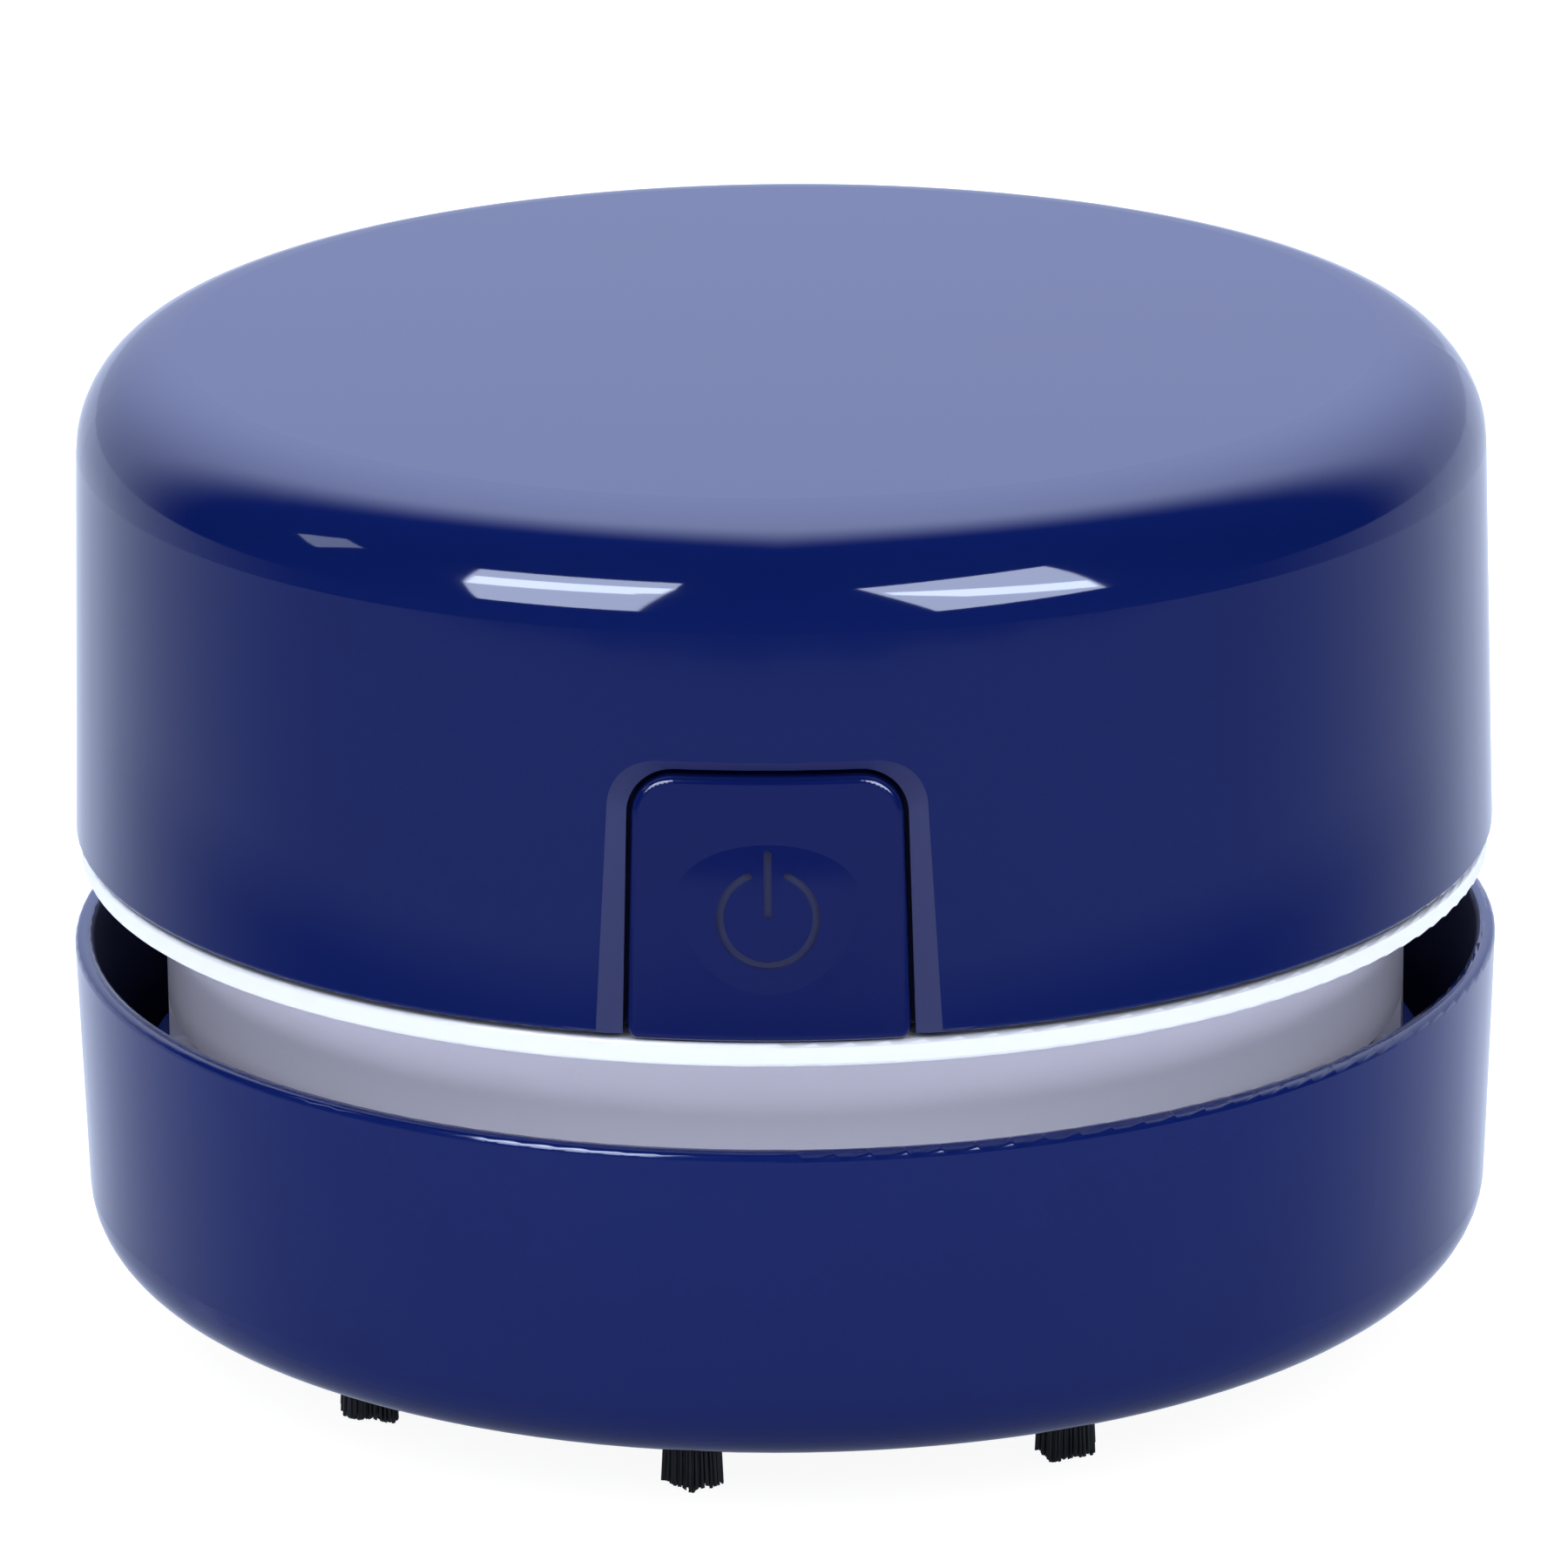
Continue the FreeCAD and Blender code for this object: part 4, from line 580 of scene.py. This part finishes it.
        tent = add_node(tree, "ShaderNodeEmission", {"Color": linear(self.tent), "Strength": glow})
        dressed = add_node(tree, "ShaderNodeMixShader", {0: shown, 1: pale.outputs[0], 2: tent.outputs[0]})
        seen = add_node(tree, "ShaderNodeMixShader", {0: path["Is Camera Ray"], 1: dressed.outputs[0],
                                                      2: white.outputs[0]})
        add_node(tree, "ShaderNodeOutputMaterial", {"Surface": seen.outputs[0]})
        half = self.floor_size / 2
        corners = [(-half, -half, 0), (half, -half, 0), (half, half, 0), (-half, half, 0)]
        mesh = bpy.data.meshes.new("studio_floor")
        mesh.from_pydata(corners, [], [tuple(range(len(corners)))])
        mesh.materials.append(material)
        link_mesh("studio_floor", mesh)

    def toward(self, azimuth: float, elevation: float, reach: float) -> Matrix:
        """Return the place and turn of something that faces the object from a given direction.

        Args:
            azimuth: Degrees to the right of the front.
            elevation: Degrees above the table.
            reach: Distance from the object.

        Returns:
            Its matrix, with its face along its own -Z.
        """
        turn, rise = math.radians(azimuth), math.radians(elevation)
        aim = Vector((math.sin(turn) * math.cos(rise), -math.cos(turn) * math.cos(rise), math.sin(rise)))
        facing = aim.to_track_quat("Z", "Y").to_matrix().to_4x4()
        return Matrix.Translation(UP * self.aim_height + aim * reach) @ facing

    def lamp(self, given: Lamp, shaded: Sequence[bpy.types.Object]) -> None:
        """Hang one lamp, which lights the object without showing in its gloss.

        Args:
            given: The lamp's place and power.
            shaded: The pieces that its light is kept off.
        """
        data = bpy.data.lights.new(given.name, "AREA")
        data.shape = "SQUARE"
        data.size = given.size
        data.energy = given.power
        lamp = bpy.data.objects.new(given.name, data)
        lamp.matrix_world = self.toward(given.azimuth, given.elevation, self.lamp_reach)
        lamp.visible_glossy = False
        bpy.context.scene.collection.objects.link(lamp)
        if shaded:
            flag = bpy.data.collections.new(given.name + "_flag")
            for piece in shaded:
                flag.objects.link(piece)
            for member in flag.collection_objects:
                member.light_linking.link_state = "EXCLUDE"
            lamp.light_linking.receiver_collection = flag

    def panel(self, given: Panel) -> None:
        """Hang one panel, hidden from everything but gloss."""
        material = bpy.data.materials.new(given.name)
        material.use_nodes = True
        tree = material.node_tree
        tree.nodes.clear()
        light = add_node(tree, "ShaderNodeEmission", {"Color": linear(self.tent), "Strength": given.glow})
        add_node(tree, "ShaderNodeOutputMaterial", {"Surface": light.outputs[0]})
        mesh = bpy.data.meshes.new(given.name)
        places = [self.toward(*corner, given.reach).translation for corner in given.corners]
        mesh.from_pydata(places, [], [tuple(range(len(places)))])
        mesh.materials.append(material)
        panel = link_mesh(given.name, mesh)
        panel.visible_camera = False
        panel.visible_diffuse = False
        panel.visible_transmission = False
        panel.visible_shadow = False


@dataclass
class CoverAndButton:
    """The glossy cover and button, whose notch facets and symbol grooves come satin from the tool, in a
    slightly lighter blue that is painted sheen.
    """

    facet_reach: float = 11.0 * MM
    facet_front: float = -39.0 * MM
    facet_rise: float = 1.2 * MM
    facet_foot: float = 0.3 * MM
    facet_lean: tuple[float, float] = (7.0, 60.0)
    cover_draw: float = 0.89 * MM
    groove_depth: float = 0.34 * MM
    groove_facing: float = 0.9

    def build(self, frame: dict[str, Any]) -> None:
        """Dress the facets round the notch and the floors of the symbol's grooves in satin, with a slightly
        lighter blue that is painted sheen.

        Args:
            frame: The loaded frame.
        """
        foot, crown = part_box("top_cover")
        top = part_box("button")[1][2] + self.facet_rise
        taper = self.cover_draw / (crown[2] - foot[2])
        facets = dress_faces(frame["nodes"]["top_cover"], SATIN_BLUE_PAINTED_SHEEN, lambda centre, normal: (
            foot[2] + self.facet_foot < centre.z < top and self.is_facet(centre, normal)))
        grooves = dress_faces(frame["nodes"]["button"], SATIN_BLUE_PAINTED_SHEEN, lambda centre, normal: (
            self.is_groove(centre, normal, crown[0] - taper * (centre.z - foot[2]))))
        # These faces are satin, and their lighter blue is painted sheen.
        log.info("cover and button: %d facet faces and %d groove faces are satin", facets, grooves)

    def is_facet(self, centre: Vector, normal: Vector) -> bool:
        """Tell whether a face of the cover belongs to the bevel round the notch."""
        if abs(centre.x) > self.facet_reach or centre.y > self.facet_front:
            return False
        low, high = self.facet_lean
        return low < math.degrees(normal.angle(Vector((centre.x, centre.y, 0.0)))) < high

    def is_groove(self, centre: Vector, normal: Vector, face_radius: float) -> bool:
        """Tell whether a face of the button is the floor of a groove, below the dimple."""
        depth = face_radius - math.hypot(centre.x, centre.y)
        return centre.y < self.facet_front and depth > self.groove_depth and normal.y < -self.groove_facing


@dataclass
class CupShell:
    """The dust cup, glossy outside, whose inner wall is satin and painted a much darker blue, which is
    painted shade for its deep gap.
    """

    wall_radius: float = 36.0 * MM
    inward: float = 0.5

    def build(self, frame: dict[str, Any]) -> None:
        """Dress the inner wall in satin with a darker blue, which is painted shade.

        Args:
            frame: The loaded frame.
        """
        inner = dress_faces(frame["nodes"]["dust_cup"], CUP_INSIDE_PAINTED_SHADE, self.is_inner_wall)
        # These faces are satin, and their darker blue is painted shade.
        log.info("dust cup: %d faces of the inner wall are satin", inner)

    def is_inner_wall(self, centre: Vector, normal: Vector) -> bool:
        """Tell whether a face of the cup looks towards the axis from the outer wall."""
        radius = math.hypot(centre.x, centre.y)
        return radius > self.wall_radius and normal.x * centre.x + normal.y * centre.y < -self.inward * radius


@dataclass
class BrushRing:
    """The ring of bristle tufts under the cup, each a bundle of nylon filaments that spread a little."""

    tufts: int = 9
    first_azimuth: float = 261.3
    circle: float = 32.2 * MM
    root_radius: float = 1.4 * MM
    tip_radius: float = 1.74 * MM
    filament_radius: float = 0.12 * MM
    filament_sides: int = 5
    filament_parts: int = 3
    filaments: int = 220
    ragged: float = 0.4 * MM
    clumps: float = 1.5 * MM
    clump_middle: tuple[float, float, float] = (0.5, 0.5, 0.3)
    bend: float = 0.4 * MM
    droop: float = 4.0
    tuft_turn: float = 1.3
    golden_angle: float = 2.39996
    seed: int = 7

    def tree(self) -> bpy.types.NodeTree:
        """Return the tree that fills one tuft with filaments and sets the tufts round the circle."""
        tree, given, result = geometry_tree("tuft_filaments", [
            ("Tufts", "NodeSocketInt", 9), ("Filaments", "NodeSocketInt", 200),
            ("First Azimuth", "NodeSocketFloat", 0.0), ("Circle", "NodeSocketFloat", 0.03),
            ("Root Radius", "NodeSocketFloat", 0.001), ("Tip Radius", "NodeSocketFloat", 0.001),
            ("Filament Radius", "NodeSocketFloat", 0.0001), ("Root Height", "NodeSocketFloat", 0.007),
            ("Ragged", "NodeSocketFloat", 0.0005), ("Bend", "NodeSocketFloat", 0.0001),
            ("Clumps", "NodeSocketFloat", 0.001), ("Seed", "NodeSocketInt", 1)])
        size = given.outputs
        points = add_node(tree, "GeometryNodePoints", {"Count": size["Filaments"]}).outputs[0]
        index = add_node(tree, "GeometryNodeInputIndex").outputs[0]
        share = add_node(tree, "ShaderNodeMath", {0: index, 1: size["Filaments"]},
                         operation="DIVIDE").outputs[0]
        reach = add_node(tree, "ShaderNodeMath", {0: share}, operation="SQRT").outputs[0]
        turn = add_node(tree, "ShaderNodeMath", {0: index, 1: self.golden_angle},
                        operation="MULTIPLY").outputs[0]
        arm = add_node(tree, "ShaderNodeCombineXYZ", {"X": reach}).outputs[0]
        spot = add_node(tree, "ShaderNodeVectorRotate", {"Vector": arm, "Angle": turn},
                        rotation_type="Z_AXIS").outputs[0]
        root_height = add_node(tree, "ShaderNodeCombineXYZ", {"Z": size["Root Height"]}).outputs[0]
        short = add_node(tree, "FunctionNodeRandomValue", {"Max": size["Ragged"], "Seed": size["Seed"]},
                         data_type="FLOAT").outputs["Value"]
        tip_height = add_node(tree, "ShaderNodeCombineXYZ", {"Z": short}).outputs[0]
        root = add_node(tree, "ShaderNodeVectorMath", {0: spot, 1: size["Root Radius"], 2: root_height},
                        operation="MULTIPLY_ADD").outputs[0]
        tip = add_node(tree, "ShaderNodeVectorMath", {0: spot, 1: size["Tip Radius"], 2: tip_height},
                       operation="MULTIPLY_ADD").outputs[0]
        run = add_node(tree, "ShaderNodeVectorMath", {0: root, 1: tip}, operation="SUBTRACT").outputs[0]
        length = add_node(tree, "ShaderNodeVectorMath", {0: run}, operation="LENGTH").outputs["Value"]
        middle = add_node(tree, "ShaderNodeVectorMath", {0: run, 1: (0.5, 0.5, 0.5), 2: tip},
                          operation="MULTIPLY_ADD").outputs[0]
        placed = add_node(tree, "GeometryNodeSetPosition",
                          {"Geometry": points, "Position": middle}).outputs[0]
        rod = add_node(tree, "GeometryNodeMeshCylinder",
                       {"Vertices": self.filament_sides, "Side Segments": self.filament_parts, "Depth": 1.0,
                        "Radius": size["Filament Radius"]}).outputs["Mesh"]
        lean = add_node(tree, "FunctionNodeAlignRotationToVector", {"Vector": run}, axis="Z").outputs[0]
        stretch = add_node(tree, "ShaderNodeCombineXYZ", {"X": 1.0, "Y": 1.0, "Z": length}).outputs[0]
        tuft = add_node(tree, "GeometryNodeInstanceOnPoints",
                        {"Points": placed, "Instance": rod, "Rotation": lean, "Scale": stretch}).outputs[0]
        circle = add_node(tree, "GeometryNodeMeshCircle",
                          {"Vertices": size["Tufts"], "Radius": size["Circle"]}).outputs[0]
        start = add_node(tree, "ShaderNodeCombineXYZ", {"Z": size["First Azimuth"]}).outputs[0]
        turned = add_node(tree, "GeometryNodeTransform", {"Geometry": circle, "Rotation": start}).outputs[0]
        spin = add_node(tree, "ShaderNodeMath", {0: index, 1: self.tuft_turn},
                        operation="MULTIPLY").outputs[0]
        spun = add_node(tree, "ShaderNodeCombineXYZ", {"Z": spin}).outputs[0]
        ring = add_node(tree, "GeometryNodeInstanceOnPoints",
                        {"Points": turned, "Instance": tuft, "Rotation": spun}).outputs[0]
        solid = add_node(tree, "GeometryNodeRealizeInstances", {"Geometry": ring}).outputs[0]
        place = add_node(tree, "GeometryNodeInputPosition").outputs[0]
        height = add_node(tree, "ShaderNodeSeparateXYZ", {0: place}).outputs["Z"]
        free = add_node(tree, "ShaderNodeMapRange",
                        {"Value": height, "From Min": size["Root Height"], "From Max": 0.0}).outputs[0]
        fine = add_node(tree, "ShaderNodeMath", {0: 1.0, 1: size["Clumps"]}, operation="DIVIDE").outputs[0]
        flat = add_node(tree, "ShaderNodeVectorMath", {0: place, 1: (1.0, 1.0, 0.0)},
                        operation="MULTIPLY").outputs[0]
        cloud = add_node(tree, "ShaderNodeTexNoise",
                         {"Vector": flat, "Scale": fine, "Detail": 2.0}).outputs["Color"]
        push = add_node(tree, "ShaderNodeVectorMath", {0: cloud, 1: self.clump_middle},
                        operation="SUBTRACT").outputs[0]
        sized = add_node(tree, "ShaderNodeVectorMath", {0: push, "Scale": size["Bend"]},
                         operation="SCALE").outputs[0]
        uneven = add_node(tree, "ShaderNodeVectorMath", {0: sized, 1: (1.0, 1.0, self.droop)},
                          operation="MULTIPLY").outputs[0]
        shift = add_node(tree, "ShaderNodeVectorMath", {0: uneven, "Scale": free},
                         operation="SCALE").outputs[0]
        bent = add_node(tree, "GeometryNodeSetPosition", {"Geometry": solid, "Offset": shift}).outputs[0]
        smooth = add_node(tree, "GeometryNodeSetShadeSmooth", {"Geometry": bent}).outputs[0]
        dressed = add_node(tree, "GeometryNodeSetMaterial",
                           {"Geometry": smooth, "Material": BRISTLE_BLACK.material()}).outputs[0]
        tree.links.new(dressed, result.inputs[0])
        return tree

    def build(self, frame: dict[str, Any]) -> None:
        """Make the tufts, which stand for the CAD bundles.

        Args:
            frame: The loaded frame, not used.
        """
        tufts = bake_tree("bristle_filaments", self.tree(), {
            "Tufts": self.tufts, "Filaments": self.filaments,
            "First Azimuth": math.radians(self.first_azimuth), "Circle": self.circle,
            "Root Radius": self.root_radius, "Tip Radius": self.tip_radius,
            "Filament Radius": self.filament_radius, "Root Height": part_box("bristle_tufts")[1][2],
            "Ragged": self.ragged, "Bend": self.bend, "Clumps": self.clumps, "Seed": self.seed})
        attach(tufts, "cup")
        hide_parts("bristle_tufts")
        log.info("brush ring: %d tufts, %d faces", self.tufts, len(tufts.data.polygons))


@dataclass
class FilterPad:
    """The needled felt disc between the filter's ring and its knob, pressed thinner along both rims."""

    inner_radius: float = 3.15 * MM
    bays: int = 6
    rings: int = 40
    steps: int = 240
    rim_width: float = 1.6 * MM
    rim_share: float = 0.45
    seam_dip: float = 0.16
    seam_width: float = 2.2 * MM
    lump_size: float = 1.1 * MM
    lump: float = 0.05
    lump_falloff: float = 0.6
    lump_octaves: int = 3
    sag_share: float = 0.12
    least_share: float = 0.2

    def thickness(self, reach: float, angle: float, outer: float) -> float:
        """Return the felt's share of its full thickness.

        Args:
            reach: Distance from the axis.
            angle: Azimuth in radians.
            outer: The disc's outer radius.

        Returns:
            A value from 0 to 1.
        """
        edge = min(reach - self.inner_radius, outer - reach) / self.rim_width
        round_up = math.sqrt(max(0.0, 1.0 - (1.0 - min(edge, 1.0)) ** 2))
        seam = math.exp(-(math.sin(angle * self.bays / 2) * reach / self.seam_width) ** 2)
        spot = Vector((reach * math.cos(angle), reach * math.sin(angle), 0.0)) / self.lump_size
        lumps = self.lump * (noise.fractal(spot, self.lump_falloff, 2.0, self.lump_octaves) - 1.0)
        share = self.rim_share + (1.0 - self.rim_share) * round_up
        return max(self.least_share, min(1.0, share * (1.0 - self.seam_dip * seam) + lumps))

    def build(self, frame: dict[str, Any]) -> None:
        """Make the pad, which stands for the CAD disc.

        Args:
            frame: The loaded frame, not used.
        """
        low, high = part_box("filter_pad")
        outer, full = high[0], high[2] - low[2]
        mesh = bmesh.new()
        rows = []
        for ring in range(self.rings + 1):
            reach = self.inner_radius + (outer - self.inner_radius) * ring / self.rings
            for side in (0, 1):
                row = []
                for step in range(self.steps):
                    angle = math.tau * step / self.steps
                    share = self.thickness(reach, angle, outer)
                    height = low[2] + full * (share if side else (1.0 - share) * self.sag_share)
                    row.append(mesh.verts.new((reach * math.cos(angle), reach * math.sin(angle), height)))
                rows.append(row)
        bottoms, tops = rows[0::2], rows[1::2]
        for step in range(self.steps):
            ahead = (step + 1) % self.steps
            for ring in range(self.rings):
                top, next_top = tops[ring], tops[ring + 1]
                bottom, next_bottom = bottoms[ring], bottoms[ring + 1]
                mesh.faces.new((top[step], next_top[step], next_top[ahead], top[ahead]))
                mesh.faces.new((bottom[ahead], next_bottom[ahead], next_bottom[step], bottom[step]))
            mesh.faces.new((tops[-1][step], bottoms[-1][step], bottoms[-1][ahead], tops[-1][ahead]))
            mesh.faces.new((bottoms[0][step], tops[0][step], tops[0][ahead], bottoms[0][ahead]))
        for face in mesh.faces:
            face.smooth = True
        data = bpy.data.meshes.new("felt_pad")
        mesh.to_mesh(data)
        mesh.free()
        pad = link_mesh("felt_pad", data)
        dress(pad, FILTER_FELT)
        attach(pad, "filter")
        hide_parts("filter_pad")
        log.info("filter pad: felt disc of %.1f mm", outer * 2 / MM)


@dataclass
class ArmatureCoils:
    """The three coils of enamelled wire, each wound in layers round its pole."""

    poles: int = 3
    turns: int = 6
    layers: int = 3
    wire: float = 0.3 * MM
    first_turn: float = 2.5 * MM
    arm_half_width: float = 1.12 * MM
    corner: float = 0.5 * MM
    corner_steps: int = 5
    wire_sides: int = 6
    wire_fill: float = 0.49

    def tree(self) -> bpy.types.NodeTree:
        """Return the tree that winds the coils."""
        tree, given, result = geometry_tree("wound_coils", [
            ("Poles", "NodeSocketInt", 3), ("Turns", "NodeSocketInt", 6), ("Layers", "NodeSocketInt", 3),
            ("Wire", "NodeSocketFloat", 0.0003), ("First Turn", "NodeSocketFloat", 0.0025),
            ("Half Width", "NodeSocketFloat", 0.001), ("Half Height", "NodeSocketFloat", 0.005),
            ("Middle", "NodeSocketFloat", 0.04), ("Corner", "NodeSocketFloat", 0.0005)])
        size = given.outputs
        each = add_node(tree, "ShaderNodeMath", {0: size["Turns"], 1: size["Layers"]},
                        operation="MULTIPLY").outputs[0]
        count = add_node(tree, "ShaderNodeMath", {0: each, 1: size["Poles"]}, operation="MULTIPLY").outputs[0]
        points = add_node(tree, "GeometryNodePoints", {"Count": count}).outputs[0]
        index = add_node(tree, "GeometryNodeInputIndex").outputs[0]
        turn = add_node(tree, "ShaderNodeMath", {0: index, 1: size["Turns"]}, operation="MODULO").outputs[0]
        row = add_node(tree, "ShaderNodeMath", {0: index, 1: size["Turns"]}, operation="DIVIDE").outputs[0]
        whole = add_node(tree, "ShaderNodeMath", {0: row}, operation="FLOOR").outputs[0]
        layer = add_node(tree, "ShaderNodeMath", {0: whole, 1: size["Layers"]}, operation="MODULO").outputs[0]
        part = add_node(tree, "ShaderNodeMath", {0: index, 1: each}, operation="DIVIDE").outputs[0]
        pole = add_node(tree, "ShaderNodeMath", {0: part}, operation="FLOOR").outputs[0]
        reach = add_node(tree, "ShaderNodeMath", {0: turn, 1: size["Wire"], 2: size["First Turn"]},
                         operation="MULTIPLY_ADD").outputs[0]
        step = add_node(tree, "ShaderNodeMath", {0: math.tau, 1: size["Poles"]},
                        operation="DIVIDE").outputs[0]
        angle = add_node(tree, "ShaderNodeMath", {0: pole, 1: step}, operation="MULTIPLY").outputs[0]
        arm = add_node(tree, "ShaderNodeCombineXYZ", {"X": reach, "Z": size["Middle"]}).outputs[0]
        spot = add_node(tree, "ShaderNodeVectorRotate", {"Vector": arm, "Angle": angle},
                        rotation_type="Z_AXIS").outputs[0]
        placed = add_node(tree, "GeometryNodeSetPosition", {"Geometry": points, "Position": spot}).outputs[0]
        width = add_node(tree, "ShaderNodeMath", {0: size["Half Width"], 1: 2.0},
                         operation="MULTIPLY").outputs[0]
        height = add_node(tree, "ShaderNodeMath", {0: size["Half Height"], 1: 2.0},
                          operation="MULTIPLY").outputs[0]
        loop = add_node(tree, "GeometryNodeCurvePrimitiveQuadrilateral",
                        {"Width": width, "Height": height}).outputs[0]
        rounded = add_node(tree, "GeometryNodeFilletCurve",
                           {"Curve": loop, "Radius": size["Corner"], "Count": self.corner_steps},
                           mode="POLY").outputs[0]
        upright = add_node(tree, "GeometryNodeTransform",
                           {"Geometry": rounded, "Rotation": (math.pi / 2, 0.0, math.pi / 2)}).outputs[0]
        grown = add_node(tree, "ShaderNodeMath", {0: layer, 1: size["Wire"]}, operation="MULTIPLY").outputs[0]
        wide = add_node(tree, "ShaderNodeMath", {0: grown, 1: size["Half Width"]},
                        operation="DIVIDE").outputs[0]
        tall = add_node(tree, "ShaderNodeMath", {0: grown, 1: size["Half Height"]},
                        operation="DIVIDE").outputs[0]
        scale = add_node(tree, "ShaderNodeCombineXYZ", {"Y": wide, "Z": tall}).outputs[0]
        full = add_node(tree, "ShaderNodeVectorMath", {0: scale, 1: (1.0, 1.0, 1.0)},
                        operation="ADD").outputs[0]
        facing = add_node(tree, "ShaderNodeCombineXYZ", {"Z": angle}).outputs[0]
        loops = add_node(tree, "GeometryNodeInstanceOnPoints",
                         {"Points": placed, "Instance": upright, "Rotation": facing,
                          "Scale": full}).outputs[0]
        real = add_node(tree, "GeometryNodeRealizeInstances", {"Geometry": loops}).outputs[0]
        half = add_node(tree, "ShaderNodeMath", {0: size["Wire"], 1: self.wire_fill},
                        operation="MULTIPLY").outputs[0]
        section = add_node(tree, "GeometryNodeCurvePrimitiveCircle",
                           {"Resolution": self.wire_sides, "Radius": half}).outputs[0]
        wires = add_node(tree, "GeometryNodeCurveToMesh",
                         {"Curve": real, "Profile Curve": section}).outputs[0]
        smooth = add_node(tree, "GeometryNodeSetShadeSmooth", {"Geometry": wires}).outputs[0]
        dressed = add_node(tree, "GeometryNodeSetMaterial",
                           {"Geometry": smooth, "Material": COPPER_WIRE.material()}).outputs[0]
        tree.links.new(dressed, result.inputs[0])
        return tree

    def build(self, frame: dict[str, Any]) -> None:
        """Wind the coils, which stand for the CAD ones.

        Args:
            frame: The loaded frame, not used.
        """
        low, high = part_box("armature_core")
        coils = bake_tree("wound_coils", self.tree(), {
            "Poles": self.poles, "Turns": self.turns, "Layers": self.layers, "Wire": self.wire,
            "First Turn": self.first_turn, "Half Width": self.arm_half_width + self.wire / 2,
            "Half Height": (high[2] - low[2]) / 2 + self.wire, "Middle": (high[2] + low[2]) / 2,
            "Corner": self.corner})
        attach(coils, "rotor")
        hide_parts("armature_windings")
        log.info("armature: %d coils, %d faces", self.poles, len(coils.data.polygons))


@dataclass
class BatteryCell:
    """The cell in its shrink sleeve, which leaves the bare ends of the can open."""

    bare_share: float = 0.82
    end_facing: float = 0.7

    def build(self, frame: dict[str, Any]) -> None:
        """Dress the bare ends of the can.

        Args:
            frame: The loaded frame.
        """
        low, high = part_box("battery_cell")
        middle = (Vector(low) + Vector(high)) / 2
        radius = (high[2] - low[2]) / 2 * self.bare_share
        ends = dress_faces(frame["nodes"]["battery_cell"], TAB_NICKEL, lambda centre, normal: (
            abs(normal.x) > self.end_facing and (centre - middle).yz.length < radius))
        log.info("battery cell: %d faces are bare can", ends)


def main() -> None:
    """Build the scene: the studio, then each sub-assembly, dressed."""
    logging.basicConfig(level=logging.INFO, format="%(name)s: %(message)s")
    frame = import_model()
    Studio().build(frame)
    for part in frame["record"]["subparts"]:
        node = frame["nodes"][part["node"]]
        dress(node, SLOT_FINISHES[part["material_slot"]])
        log.info("%s has the finish %s", part["node"], part["material_slot"])
    for piece in (CoverAndButton(), CupShell(), BrushRing(), FilterPad(), ArmatureCoils(), BatteryCell()):
        piece.build(frame)


if __name__ == "__main__":
    main()
